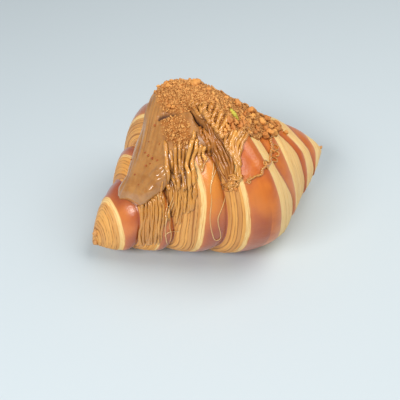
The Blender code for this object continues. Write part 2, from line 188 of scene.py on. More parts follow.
# The drizzled strands: (radius in mm, how many side by side, mm along X, angles).
STREAMS = (
    (1.2, 1, (-48.5, -48.5, -48.8, -49.2, -49.7, -49.9, -49.6), (51, 47, 39.5, 27, 13, -2.5, -14)),
    (0.8, 2, (-46.9, -46.9, -47.4, -48.2, -48.7, -48.9, -48.4), (51.5, 47, 40.5, 30, 17.5, 3.5,
      -10)),
    (0.7, 2, (-45.4, -45.4, -46.2, -46.9, -47.3, -47.6, -47.4), (51.5, 47, 39, 29, 17.5, 4.5, -9)),
    (0.7, 2, (-44.1, -44.2, -44.9, -45.6, -46, -46.3, -46.1), (52.5, 46.5, 37.5, 28, 17, 5, -7)),
    (0.7, 2, (-42.6, -42.8, -43.4, -44.1, -44.7, -45.1, -45), (53, 47, 38.5, 29, 19, 8, -5)),
    (0.65, 2, (-41.3, -41.4, -42, -42.5, -43.1, -43.6, -43.6), (54.5, 49, 40.5, 31.5, 22, 12, 0)),
)
OVER_THIRD_WRAP = (
    (0.6, 1, (-39, -40.2, -40.7, -41.3, -41.6), (60, 57, 53.5, 47.5, 41)),
    (0.55, 1, (-37.8, -37.7, -38.5, -40.2, -41.2, -41.6), (60, 51, 40.5, 34, 27, 18)),
    (0.6, 2, (-35.4, -36.1, -35.9, -36.3, -37.4, -39.1, -40), (65, 60, 55, 47, 39, 31.5, 22)),
    (0.6, 2, (-33.8, -34.4, -35, -35.9, -36.6, -37.3), (64, 57, 49.5, 40, 31.5, 23)),
    (0.7, 2, (-32.3, -33.1, -33.6, -34.7, -35.1, -35.9, -36.3), (62, 55, 48, 41, 33, 24, 15)),
    (0.7, 2, (-30.7, -31.4, -32.8, -33.4, -34.2, -34.8), (61, 55, 48, 40, 32, 23)),
    (0.75, 2, (-29.1, -29.6, -31.4, -32.5, -33.1, -33.7), (60, 53, 46.5, 40, 32.5, 25.5)),
    (0.7, 2, (-27.5, -28.3, -29, -30.3, -31, -31.9), (58, 53.5, 49, 43, 36, 26.5)),
    (0.6, 1, (-27.1, -27.8, -28.4, -29, -30.2), (54, 49.5, 45, 38, 31.5)),
)
BESIDE_TONGUE = (
    (0.95, 1, (-32.2, -34.1, -35.5, -36.3, -37, -37.1), (85.5, 76.5, 70.5, 64, 57.5, 51)),
    (0.95, 1, (-31.9, -32.5, -33.4, -34.1, -34.5, -35), (78, 74, 68, 63, 57, 49)),
    (0.95, 1, (-29.9, -31, -32, -32.9, -33.4, -34.5), (78, 72.5, 66.5, 61, 55, 48)),
    (0.95, 1, (-27.8, -29.6, -30.6, -31.1, -32, -33), (79, 70.5, 65, 59.5, 53, 46)),
    (0.95, 1, (-27.1, -28.2, -29.8, -30.4, -31.3, -32), (73, 69.5, 64, 59, 52, 46)),
    (0.85, 1, (-26.2, -27.9, -29.1, -30, -31.1), (72, 66, 61.5, 56, 49.5)),
    (0.8, 1, (-24.5, -26.3, -27.3, -28.5, -29.5), (73, 68.5, 64, 59, 53)),
)
LEFT_OF_BARE_SKIN = (
    (0.9, 1, (-21.2, -22.6, -23.8, -25.4, -26.9, -27.7, -28.3, -29), (73, 70.5, 67.5, 65, 62, 58,
      52, 47)),
    (1.05, 1, (-20.8, -22.2, -24, -25.7, -27.3, -28.4, -29.4, -29.9, -31), (78, 75, 73, 70.5, 67.5,
      64, 60, 53, 44)),
    (0.95, 1, (-21.2, -22.8, -23.4, -23.7, -24.5), (69.5, 65.5, 62.5, 58.5, 53)),
    (0.8, 1, (-20.7, -21.3, -21.7, -21.8), (67, 64.5, 62, 59.5)),
)
# Strands in the hollow; their group's tints below make them dark as painted shade.
IN_HOLLOW = (
    (0.9, 1, (-18, -19.2, -19.7, -19.5), (78.5, 75, 71.5, 67)),
    (0.85, 1, (-17.2, -18, -18.2, -18.5, -18.6), (77, 73.5, 70, 66, 61)),
    (0.9, 1, (-16.2, -17.1, -17.3, -17.6, -17.3, -17.4, -17.3, -17.2), (75.5, 72, 68, 64, 60, 54,
      48, 41)),
    (0.85, 1, (-16.9, -17.1, -17.1, -16.6, -16.9, -16.8, -16.4, -16.1), (72.5, 68, 63, 59, 53.5, 48,
      42, 36)),
    (0.9, 1, (-15.7, -15.4, -15.8, -16, -16, -15.7, -16, -15.9, -15.8, -15.6), (79, 75, 70.5, 67,
      63, 59, 54.5, 50, 45, 35)),
    (0.85, 1, (-14.9, -14.8, -14.9, -14.6, -14.2, -14.6, -14.9, -15, -14.9), (76.5, 72, 67.5, 64,
      60, 55.5, 51, 46.5, 35.5)),
    (0.85, 1, (-14.2, -14.2, -13.7, -13.2, -13.2, -13.6, -13.8, -14.3, -14.3), (73.5, 69, 65.5,
      61.5, 57.5, 53, 49, 44, 34.5)),
    (0.8, 1, (-13.3, -12.8, -12, -11.8, -11.7, -12, -12.5, -13.3, -13.3), (71, 67, 63.5, 60, 56, 52,
      48, 44, 34.5)),
)
LOOPS_ABOVE_HOLLOW = (
    (0.95, 1, (-13.4, -14.5, -15.3, -15.7, -15.7, -15.4), (89.8, 88, 86, 84, 82, 80)),
    (1, 1, (-11.3, -12.4, -13.5, -14.1, -14.3, -14.7), (88, 86.5, 84.5, 82.5, 80.5, 78.5)),
    (1.05, 1, (-15.3, -13.8, -12.2, -11.6), (91.5, 92, 91, 89)),
)
RIGHT_OF_HOLLOW = (
    (0.95, 1, (-8.8, -10.3, -11.5, -12.2, -12.2), (67.5, 65, 63, 60.5, 57)),
    (1, 1, (-5.5, -7.8, -9.9, -11.1, -11.5, -11.5), (67.5, 65, 63, 60.5, 57.5, 53)),
    (1, 1, (-3, -6.1, -8.4, -10, -10.7, -10.8, -11.4), (67.5, 64.5, 62, 59.5, 56, 53, 47)),
    (1, 1, (0.2, -3.9, -6.9, -9, -10, -10.3, -11.1, -12, -13.1), (67.5, 64, 62, 59, 55, 51, 47,
      42.5, 37)),
    (1, 1, (3.7, -1.5, -5.4, -7.5, -9, -9.6, -10.5, -11.8, -12.7), (68, 64.5, 62, 58.5, 55, 51, 47,
      42, 35)),
    (0.95, 1, (5.1, -0.1, -4.2, -7.1, -8.6, -9.5, -10.4, -11.9), (67, 63, 60.5, 57.5, 53.5, 49.5,
      45.5, 38)),
    (1, 1, (6.3, 0.3, -3.5, -6.1, -7.9, -8.9, -9.6), (66, 61.5, 59, 56, 53, 50, 46)),
)
FAN = (
    (1.1, 1, (-7.3, -10.5, -12.4, -13.7, -14.3, -14.6), (87.7, 85.7, 83.6, 81.1, 79.4, 77.5)),
    (1.15, 1, (-3, -6.2, -8.7, -11.2, -13, -14.1, -14.6), (86.1, 84.6, 82.9, 81, 79.1, 77.3, 75.2)),
    (1.2, 1, (-1.6, -5.3, -8.2, -10.6, -12.3, -13.3, -13.8), (83.7, 81.9, 79.7, 78.1, 76.3, 74.7,
      72.8)),
    (1.2, 1, (-0.8, -5, -8.3, -10.5, -12, -12.7, -12.9), (80.5, 78.4, 75.9, 74.2, 72.4, 70.8,
      69.1)),
    (1.15, 1, (1, -3, -6.6, -9.1, -11, -11.7, -11.8), (77, 75, 72.9, 71.3, 69.5, 67.7, 65.5)),
    (0.6, 1, (1, 6.5, 9.8, 9.6, 6.9), (66.5, 69, 68.5, 66, 64)),
)
# Each group lies on those before it: (range of rises, range of tints, strands).
STRAND_GROUPS = (
    ((0.0, 0.7), (0.05, 0.7), STREAMS),
    ((0.4, 1.2), (0.1, 0.8), OVER_THIRD_WRAP),
    ((0.4, 1.2), (0.1, 0.85), BESIDE_TONGUE),
    ((0.5, 1.3), (0.3, 1.0), LEFT_OF_BARE_SKIN),
    # Painted shade: the strands in the hollow take the darkest tints.
    ((0.3, 1.2), (-0.3, 0.0), IN_HOLLOW),
    ((0.3, 1.0), (0.0, 0.55), LOOPS_ABOVE_HOLLOW),
    ((0.4, 1.2), (0.2, 0.85), RIGHT_OF_HOLLOW),
    ((0.45, 0.85), (0.1, 0.55), FAN),
)
# The rise and the range of tints of the curls and the fine threads.
PLAIN_LOOK = (0.5, (0.2, 0.9))
STRAND_STATIONS = 64
STRAND_SIDES = 10
STRAND_SWING = 0.19 * MM
COMPANION_GAP = 1.15
# Painted shade among the strands and grains: how far around a point to look for what rises, and how
# far it must be sunk to be fully shaded.
SHADE_REACHES = (0.9 * MM, 2.0 * MM)
SHADE_DEPTH = 2.3 * MM
# The lumpy thread of two twisted strands, and the curls beside it: (mm along X, angles).
THREAD = (
    (31.9, 27.8, 24.7, 23.6, 21.4, 18.2, 14.9, 10, 5.4, 1.1, -1.1, -5, -9.8),
    (76.7, 69.5, 63.7, 59.3, 55.1, 50.9, 46.7, 43.7, 42.7, 41.1, 38.5, 38.4, 36.5),
)
THREAD_RADIUS = 0.6 * MM
TWIST_STATIONS = 150
TWIST_TURNS = 15
THREAD_CURLS = (
    ((24.2, 25.6, 27.2, 27.3, 25.8, 24), (60, 60.4, 59, 56.8, 55.4, 56)),
    ((22.4, 24.4, 25.2, 24, 22), (55, 54.2, 52, 50.2, 50.4)),
    ((19.4, 21.2, 21.6, 20, 18), (49.8, 48.6, 46.6, 45.4, 46.4)),
    ((10, 8.6, 5.6, 4), (44.5, 46.3, 45.9, 43.4)),
)
CURL_RADIUS = 0.38 * MM
# Small tangles of short curled strands: (mm along X, angle, reach in mm, how many).
TANGLES = (
    (-15.3, 38.5, 1.8, 16), (-13.8, 42, 2, 8), (-16, 35, 1.2, 8), (8.7, 66.3, 1.5, 9),
    (6.3, 43.3, 1.3, 8), (-8.1, 37.5, 1.3, 6), (28, 70, 1.4, 6),
)
TANGLE_RADIUS = (0.3 * MM, 0.55 * MM)
TANGLE_RISES = (0.2, 1.6)
TANGLE_TINTS = (0.0, 0.7)
# Fine threads beside the streams and on the bare skin: (mm along X, angles).
FINE_THREADS = (
    ((-23.2, -24.1, -24.7, -24.5, -23.6, -21.9, -20.2, -19.4, -20, -21.1, -21.4, -20.3, -18.4,
      -16.9), (36, 27, 19.5, 12, 4, -3.5, -5.5, -3, 2.5, 9, 15, 19.5, 25, 31)),
    ((-36, -37.3, -38.5, -41, -41.4, -41.1, -40.2, -39), (48.5, 40.5, 34.5, 26.5, 17, 6, -4, -9)),
    ((-38.6, -38.5, -39.2, -38.7, -37.4, -36.5), (-7, 4.5, 14.5, 24, 33, 41)),
    ((-35.5, -36.4, -39, -41.1, -40.8), (8.5, 5.5, 9, 7.5, 4.5)),
    ((-19.6, -21.3, -23.4, -25.1), (62, 59, 56.5, 53)),
    ((-18, -19.5, -21, -22.5, -23.5), (56, 52, 48, 43, 36)),
    ((-18, -20, -22, -23), (51, 48, 44, 40)),
)
FINE_RADIUS = 0.25 * MM
FINE_SWING = 0.15 * MM

# Where the crumb bed begins: on the left, as (angles, mm along X), and in front, as (mm along X,
# angles); and how far it fades, in mm and degrees.
BED_LEFT = ((90, 100, 110, 126, 138), (-27, -26.2, -23.4, -17.5, -13))
BED_FRONT = (
    (-27, -23, -18, -12.5, -11, -8, 5, 12, 32, 40), (98, 91, 88, 85, 68, 67, 64, 60, 62, 70),
)
BED_FADE = (3, 3)
# A crumbed patch and the bare places: (mm along X, angle, reach in mm, reach in degrees).
CRUMB_PATCH = (-26.0, 84.5, 5.6, 14)
BARE_PLACES = ((-19.9, 85.5, 1.7, 6.5),)
# Where crumbs are tried, and the shares of them that are kept behind REAR_START degrees and on
# strands beyond CRUMBED_START, a share of a strand's length.
CRUMBS_X = (-33, 42)
CRUMBS_ANGLE = (64, 142)
REAR_START = 104
REAR_CRUMBS = 0.6
CRUMBED_START = 0.2
STRAND_CRUMBS = 0.04
# Single grains: (mm along X, angle, radius in mm). First the large lumps of crumb, with the clump
# at the lower end of the drizzle.
LARGE_LUMPS = (
    (24.7, 89.5, 1.7), (33.6, 88.9, 1.8), (30.3, 77.3, 1.7), (35.6, 78.3, 1.5), (11.1, 71.9, 1.3),
    (17.8, 82.9, 1.5), (2, 107.4, 1.6), (-10.9, 118, 1.2), (-8.2, 123.6, 1.2), (1.5, 105, 1.9),
    (5, 98, 1.2), (13, 93, 1.3), (18.8, 91, 2.2), (22, 83, 1.7), (27, 89.5, 1.6), (36, 87, 1.3),
    (39.5, 85, 1.9), (35.2, 82, 1.6), (40.5, 90, 1.4), (34, 77, 1.6), (26, 79, 1.9), (31, 71, 1.7),
    (26.5, 70, 1.6), (22.7, 67.7, 2), (25.5, 74, 1.5), (19.2, 71.5, 1.4), (15.1, 75.5, 1.5),
    (20.4, 76.5, 1.4), (10.2, 76, 1.5), (14, 67, 1.3), (8, 72, 1.6), (4, 70.5, 1.4), (0.4, 72, 1.6),
    (-3.1, 73, 1.4), (-3.7, 69, 1.3), (-6.5, 70.7, 1.2), (-9.1, 68.8, 1.1), (-10.6, 67, 0.9),
    (42, 78, 1.3), (-22.2, 99.6, 1.2), (-20.6, 98, 1), (-17, 35, 0.9), (-14, 34, 0.9),
    (-15.5, 39, 0.8), (22, 54, 0.9), (23, 57, 0.8), (18, 49, 0.7),
)
# Dark specks of biscuit on the bare caramel.
SPECKS = (
    (-39.5, 86.3, 0.7), (-38.9, 82.1, 0.8), (-37.8, 77.9, 0.5), (-39.7, 90.1, 0.5),
    (-40.4, 80.1, 0.45), (-42, 81.5, 0.6), (-46.8, 83.9, 0.5), (-44.1, 102, 0.5), (-36.4, 93, 0.45),
    (-31.2, 97, 0.6), (-34, 86, 0.4), (-47.5, 72, 0.4),
)
# Grains of the pale green fleck.
GREEN_FLECK = (
    (6.6, 82.4, 0.6), (6.2, 81.4, 0.9), (5.8, 80.3, 1.1), (5.4, 79.2, 1.2), (5.1, 78, 1.2),
    (4.9, 76.9, 1.1), (4.8, 75.8, 0.9), (4.8, 74.8, 0.6),
)
# Knobs at the two tips.
TIP_KNOBS = ((-68.2, 60, 2.0), (-68.83, 0, 1.3), (68.92, 90, 1.2))


def signed_power(value, power):
    return np.sign(value) * np.abs(value) ** power


def smooth_route(route, count):
    """Points evenly spread along the Catmull-Rom curve through a route's rows of coordinates."""
    knots = np.array(route, float).T
    last = len(knots) - 1
    knots = np.vstack([2 * knots[0] - knots[1], knots, 2 * knots[-1] - knots[-2]])
    at = np.linspace(0, last, count)
    index = np.minimum(at.astype(int), last - 1)
    u = (at - index)[:, None]
    before, start, end, after = (knots[index + k] for k in range(4))
    return 0.5 * (
        2 * start
        + (end - before) * u
        + (2 * before - 5 * start + 4 * end - after) * u**2
        + (3 * start - before - 3 * end + after) * u**3
    )


def noise_at(points, scale, seed=0.0):
    """Smooth noise from -1 to 1 at each point, with lumps about as large as scale."""
    shift = Vector((seed * 17.3, seed * 5.1, seed * 9.7))
    flat = np.asarray(points, float).reshape(-1, 3) / scale
    values = [noise.noise(Vector(point) + shift) for point in flat]
    return np.array(values).reshape(np.shape(points)[:-1])


# --- The roll ---


def half_swell(x):
    """The share of the full girth at x, from the taper of the half it lies in."""
    out = np.abs(x)
    start, taper = end_value(x, NOSE_START), end_value(x, TAPER)
    bluntness = end_value(x, NOSE_BLUNTNESS)
    body = (1 - (np.minimum(out, start) / (LENGTH / 2)) ** taper) ** FULLNESS
    nose = np.clip((out - start) / (LENGTH / 2 - start), 0, 1)
    return body * (1 - nose**bluntness) ** (1 / bluntness)


def swell(x):
    """The share of the full girth at x, smooth where the two halves meet."""
    near = np.maximum(1 - np.abs(x) / MIDDLE_BLEND, 0)
    mean = sum(half_swell(x + shift) for shift in MIDDLE_SHIFTS) / len(MIDDLE_SHIFTS)
    return half_swell(x) * (1 - near) + mean * near


def end_value(x, values):
    """The value of the half that x lies in."""
    return np.where(x < 0, values[LEFT], values[RIGHT])


def unevenness(x, angle):
    """Slow waves over the dough at x and angle (radians), and its fuller and flatter places."""
    result = np.sin(3 * angle + x / (8 * MM)) + 0.6 * np.sin(5 * angle - x / (13 * MM))
    result = UNEVENNESS * result
    for degrees, first, heights in BULGES:
        facing = np.maximum(np.cos(angle - math.radians(degrees)), 0) ** 2
        for number, height in enumerate(heights):
            away = (x - first * MM - number * BULGE_STEP) / BULGE_REACH
            result = result + height * MM * facing * np.exp(-(away**2))
    return result


def roll_point(x, angle, lift):
    """Points on the roll at x and angle (radians), moved outward in their section by lift."""
    x, angle, lift = np.broadcast_arrays(np.asarray(x, float), angle, lift)
    girth = swell(x)
    out = np.abs(x) / (LENGTH / 2)
    height = HEIGHT * girth**HEIGHT_FULLNESS
    cosine = signed_power(np.cos(angle), 2 / SECTION_POWER)
    sine = signed_power(np.sin(angle), 2 / SECTION_POWER)
    half_height = np.where(sine > 0, 1 - BELLY_HEIGHT, BELLY_HEIGHT) * height
    across = WIDTH / 2 * girth * cosine
    rise = half_height * sine
    radius = np.maximum(np.hypot(across, rise), TINY)
    grow = np.maximum(1 + (lift + unevenness(x, angle) * girth) / radius, SMALLEST_GROWTH)
    y = end_value(x, TIP_BEND) * out**2 - across * grow
    z = end_value(x, TIP_LIFT) * out**3 + height * BELLY_HEIGHT + rise * grow - SOLE_SINK
    lean = SPIRAL_LEAN * np.sin(angle) * np.sign(x) * np.minimum(4 * out, 1) * girth
    along = x + lean - SKEW * y * girth
    return np.stack([along, y, z], axis=-1)


def borders_at(side, angle):
    """How far out the middle, each rim and crease and the tip lie at an angle in degrees."""
    places = [(MIDDLE * side / MM,) * 4]
    for wrap in WRAPS[side]:
        places += [wrap.rim, wrap.crease]
    at = np.interp(np.asarray(angle) % 360, (*BORDER_ANGLES, 360), np.arange(5))
    low = at.astype(int)
    step = at - low
    share = step * step * (3 - 2 * step)
    table = np.array([(*place, place[0], place[0]) for place in places]) * MM
    return table[:, low] * (1 - share) + table[:, low + 1] * share


Row = namedtuple("Row", "side segment step depth wrap")


def half_profile(side):
    """Rows from the middle of the roll out to one tip, close together where layers are cut."""
    rows = []
    front = borders_at(side, 0)
    start_depth = 0.0
    for number, wrap in enumerate(WRAPS[side]):
        skin, cut = 2 * number, 2 * number + 1
        depth = wrap.depth * MM
        count = max(4, int((front[skin + 1] - front[skin]) / SKIN_STEP))
        for step in np.linspace(0, 1, count, endpoint=False):
            rows.append(Row(side, skin, step, -start_depth * (1 - step) ** 2, number))
        count = int((front[cut + 1] - front[cut]) / EDGE_STEP[side])
        shares = np.arange(count) / count
        arc = np.sin(shares * math.pi / 2)
        steps = arc if wrap is WRAPS[side][-1] else (1 - ARC_SHARE) * shares + ARC_SHARE * arc
        drops = 1 - (1 - steps**EDGE_ROUNDNESS) ** (1 / EDGE_ROUNDNESS)
        rows += [Row(side, cut, step, -depth * drop, number) for step, drop in zip(steps, drops)]
        start_depth = depth
    return rows


PROFILE = Row(*np.array(half_profile(LEFT)[::-1] + half_profile(RIGHT)[1:]).T)


def row_places(angle):
    """Each row's x and its distance past its rim, at angles in degrees."""
    angle = np.atleast_1d(angle)
    x, past_rim = np.empty((2, PROFILE.side.size, len(angle)))
    for side in (LEFT, RIGHT):
        chosen = PROFILE.side == side
        segment = PROFILE.segment[chosen].astype(int)
        step = PROFILE.step[chosen][:, None]
        borders = borders_at(side, angle)
        start, end = borders[segment], borders[segment + 1]
        x[chosen] = side * (start + (end - start) * step)
        is_cut = (segment % 2 == 1)[:, None]
        past_rim[chosen] = np.where(is_cut, step, step - 1) * (end - start)
    return x, past_rim


FRONT_X = row_places(0)[0][:, 0]


def front_x(x, angle):
    """Where a place at x and angle would lie if it were moved round to the front with its wrap."""
    x, angle = np.broadcast_arrays(np.asarray(x, float), np.asarray(angle, float))
    result = np.empty(x.shape)
    for side in (LEFT, RIGHT):
        chosen = (x < MIDDLE) == (side == LEFT)
        out = side * x[chosen]
        here = borders_at(side, angle[chosen])
        front = borders_at(side, 0)
        moved = np.full(out.shape, front[0])
        for k in range(len(front) - 1):
            share = np.clip((out - here[k]) / (here[k + 1] - here[k]), 0, 1)
            moved += share * (front[k + 1] - front[k])
        result[chosen] = side * moved
    return result


def relief_at(x, angle):
    """The depth of the wraps at x and angle, without the gaps between layers."""
    return np.interp(front_x(x, angle), FRONT_X, PROFILE.depth)


def sag_at(x, angle):
    """How far caramel sinks between the wraps: a share of their mean depth around the place."""
    near = np.asarray(x, float)[..., None] + np.linspace(-SAG_REACH, SAG_REACH, SAG_SAMPLES)
    return POUR_SAG * relief_at(near, np.asarray(angle, float)[..., None]).mean(axis=-1)


def wrap_values(wraps, *names):
    """Columns of each row's values from its wrap: 1 to 4 out to the right, -1 to -4 to the left."""
    picked = [WRAPS[LEFT if wrap < 0 else RIGHT][int(abs(wrap)) - 1] for wrap in wraps.ravel()]
    return [np.array([getattr(wrap, name) for wrap in picked])[:, None] for name in names]


def layer_pattern(past_rim, angles, wraps):
    """How open the gap beside each cut layer is at angles (radians), and a value of its own."""
    band, pitch = wrap_values(wraps, "band", "pitch")
    layer = np.maximum(past_rim - band * MM, 0) / (pitch * MM)
    wander = (
        0.22 * np.sin(2 * angles + 0.35 * layer + 2.1 * wraps)
        + 0.08 * np.sin(5 * angles - 0.5 * layer + wraps)
        + 0.20 * np.sin(2.4 * layer + wraps)
    )
    inside = np.clip(2 * layer, 0, 1)
    shifted = np.maximum(layer + wander * inside, 0)
    number = np.floor(shifted) + 40 * (wraps + 10)
    chance = np.sin(number * 12.9898) * 43758.5453 % 1
    uneven = 0.5 + 0.5 * np.sin(7 * angles + number * 1.7) * np.sin(3 * angles - number)
    gap = np.abs(2 * (shifted % 1) - 1) ** 3
    gap = gap * inside * (0.45 + 0.55 * chance) * (0.6 + 0.4 * uneven)
    return gap, chance * (layer > 0)


def grid_faces(rows, columns):
    """Quads of a grid whose columns run round."""
    row, column = np.meshgrid(np.arange(rows - 1), np.arange(columns), indexing="ij")
    near, far = row * columns, (row + 1) * columns
    beside = (column + 1) % columns
    quads = [near + column, near + beside, far + beside, far + column]
    return np.stack(quads, axis=-1).reshape(-1, 4)


def add_object(name, data):
    made = bpy.data.objects.new(name, data)
    bpy.context.scene.collection.objects.link(made)
    return made


def new_object(name, points, faces, attributes, material):
    """A smooth mesh object with point attributes."""
    data = bpy.data.meshes.new(name)
    data.from_pydata(np.asarray(points, float).reshape(-1, 3).tolist(), [], faces)
    for key, values in attributes.items():
        values = np.asarray(values, np.float32)
        kind, field = ("FLOAT_VECTOR", "vector") if values.ndim > 1 else ("FLOAT", "value")
        data.attributes.new(key, kind, "POINT").data.foreach_set(field, values.ravel())
    data.materials.append(material)
    data.shade_smooth()
    data.update()
    return add_object(name, data)


def face_outward(made):
    mesh = bmesh.new()
    mesh.from_mesh(made.data)
    bmesh.ops.recalc_face_normals(mesh, faces=mesh.faces)
    mesh.to_mesh(made.data)
    mesh.free()
    return made


def make_pastry():
    """The whole roll: smooth baked skin, pale bands beside the rims and cut layers."""
    angles = (np.arange(COLUMNS) * 2 * math.pi / COLUMNS)[None, :]
    x, past_rim = row_places(np.degrees(angles[0]))
    side, segment, step, relief, number = (values[:, None] for values in PROFILE)
    wraps = (number + 1) * side
    deep, toast, warmth = wrap_values(wraps, "gap", "toast", "warmth")
    deep = deep * MM
    girth = swell(x)
    fade = np.clip((1 + np.sin(angles)) / SOLE_FADE, SOLE_RELIEF, 1)
    gap, chance = layer_pattern(past_rim, angles, wraps)
    rough = roll_point(x, angles, relief * fade)
    grain = noise_at(rough, 2.2 * MM, 1)
    shake = noise_at(rough, 5 * MM, 2)
    depth = relief * fade - gap * deep * (0.4 + 0.6 * fade)
    layers = (chance - 0.5) * LAYER_SHAKE * 2 + grain * LAYER_SHAKE
    depth = depth + np.where(past_rim > 0, layers, shake * SKIN_RIPPLE)
    points = roll_point(x, angles, depth * np.minimum(girth * 4, 1))
    points[..., 2] = np.maximum(points[..., 2], 0)
    ends = [roll_point(end * LENGTH / 2, 0.0, 0.0).reshape(3) for end in (LEFT, RIGHT)]

    count = len(x)
    faces = grid_faces(count, COLUMNS).tolist()
    left_tip, right_tip, last = count * COLUMNS, count * COLUMNS + 1, (count - 1) * COLUMNS
    columns = [(column, (column + 1) % COLUMNS) for column in range(COLUMNS)]
    faces += [(left_tip, beside, column) for column, beside in columns]
    faces += [(right_tip, last + column, last + beside) for column, beside in columns]

    # Painted shade towards each crease, under the rim of the wrap beside it.
    from_crease = np.where(segment == 0, 1, 1 - (segment % 2 == 0) * (1 - step))
    # Painted shade on the left, on the sides turned from the light.
    away = np.abs(np.degrees(angles) - LEFT_SHADE_FROM) - LEFT_SHADE_REACH
    # The values of each attribute on the grid and at the two tips.
    maps = {
        "past_rim": (past_rim / MM, TIP_PAST_RIM),
        # Painted shade in the gaps between cut layers.
        "gap": (np.minimum(gap * deep / DEEP_GAP, 1), 0),
        "chance": (chance, 0.5),
        "toast": (toast, 0.5),
        # Partly painted light: the warm orange fades towards the underside.
        "warmth": (warmth * np.clip(1.5 * np.sin(angles) - 0.1, 0, 1), 0),
        # Painted shade towards the creases.
        "from_crease": (from_crease, 1),
        "gloss": (np.clip((GLOSS_END - x) / GLOSS_FADE, MATTE_GLOSS, 1), 0),
        # Painted shade on the left side turned from the light.
        "left_shade": (np.clip(away / LEFT_SHADE_FADE, 0, 1) * (x < 0), 0),
    }
    attributes = {
        key: np.append(np.broadcast_to(values, x.shape).ravel(), [tip, tip])
        for key, (values, tip) in maps.items()
    }
    around = angles * MM_PER_RADIAN * girth
    place = np.stack(np.broadcast_arrays(past_rim / MM, around, wraps), axis=-1)
    attributes["place"] = np.vstack([place.reshape(-1, 3), [[TIP_PAST_RIM, 0, 0]] * 2])
    points = np.vstack([points.reshape(-1, 3), ends])
    return face_outward(new_object("pastry", points, faces, attributes, pastry_material()))


# --- Caramel ---


POUR_LINE = smooth_route(np.transpose(POUR_STATIONS), 240)


def pour_at(x):
    """(front angle, back angle, thickness) of the pour at x, in degrees and metres."""
    mm, *columns = POUR_LINE.T
    front, back, thickness = (np.interp(x / MM, mm, column) for column in columns)
    wander = np.sin(x / (2.9 * MM)) + 0.7 * np.sin(x / (1.7 * MM) + 2)
    slow = np.sin(x / (4.6 * MM) + 1) + 0.5 * np.sin(x / (2.3 * MM))
    return front + wander, back + slow, thickness * MM


def pour_lift(x, angles):
    """The pour's upper face above the roll at x and angles; far below it outside the pour."""
    front, back, thickness = pour_at(x)
    across = (2 * angles - front - back) / (back - front)
    mound = thickness * np.sqrt(np.maximum(1 - np.abs(across) ** POUR_EDGE_POWER, 0))
    for place, angle, reach, height in LOBES:
        away = np.hypot((x / MM - place) / reach, (angles - angle) * MM_PER_DEGREE / reach)
        mound = mound + height * MM * np.exp(-(away**2)) * (np.abs(across) < 1)
    mound = mound - CRUMBED_SINK * bed_share(x, angles) * np.sqrt(np.maximum(1 - across**2, 0))
    mound = mound - SLOT_DEPTH * slot_share(x, angles)
    outside = relief_at(x, angles) - POUR_ROOT
    return np.where(np.abs(across) <= 1, sag_at(x, angles) + mound, outside)


def bed_share(x, angles):
    """1 where the crumb bed lies, 0 in front of it and to its left, and soft between."""
    past_front = (angles - np.interp(x / MM, *BED_FRONT)) / BED_FADE[1]
    past_left = (x / MM - np.interp(angles, *BED_LEFT)) / BED_FADE[0]
    return np.clip(past_left, 0, 1) * np.clip(past_front, 0, 1)


def slot_share(x, angles):
    """1 in the middle of the slot and crease, painted dark as shade, and 0 away from them."""
    away = [
        np.hypot(x / MM - place, (angles - angle) * MM_PER_DEGREE) / reach
        for reach, *route in SLOTS
        for place, angle in zip(*route)
    ]
    return np.exp(-(np.min(away, axis=0) ** 4))


def crumb_share(x, angles):
    """1 where crumbs lie on the bed or on the patch, 0 where the caramel is bare, soft between."""
    place, angle, along, around = CRUMB_PATCH
    ragged = 0.35 * np.sin(x / (1.3 * MM) + angles / 2.3)
    ragged = ragged + 0.3 * np.sin(angles / 1.1 - x / (0.8 * MM))
    away = ((x / MM - place) / along) ** 2, ((angles - angle) / around) ** 2
    crumbed = np.maximum(bed_share(x, angles), 2 + ragged - 2 * away[0] - 2 * away[1])
    result = np.clip(crumbed, 0, 1) * (1 - slot_share(x, angles)) ** 8
    for place, angle, along, around in BARE_PLACES:
        near = np.exp(-(((x / MM - place) / along) ** 2) - ((angles - angle) / around) ** 2)
        result = result * (1 - near)
    return result


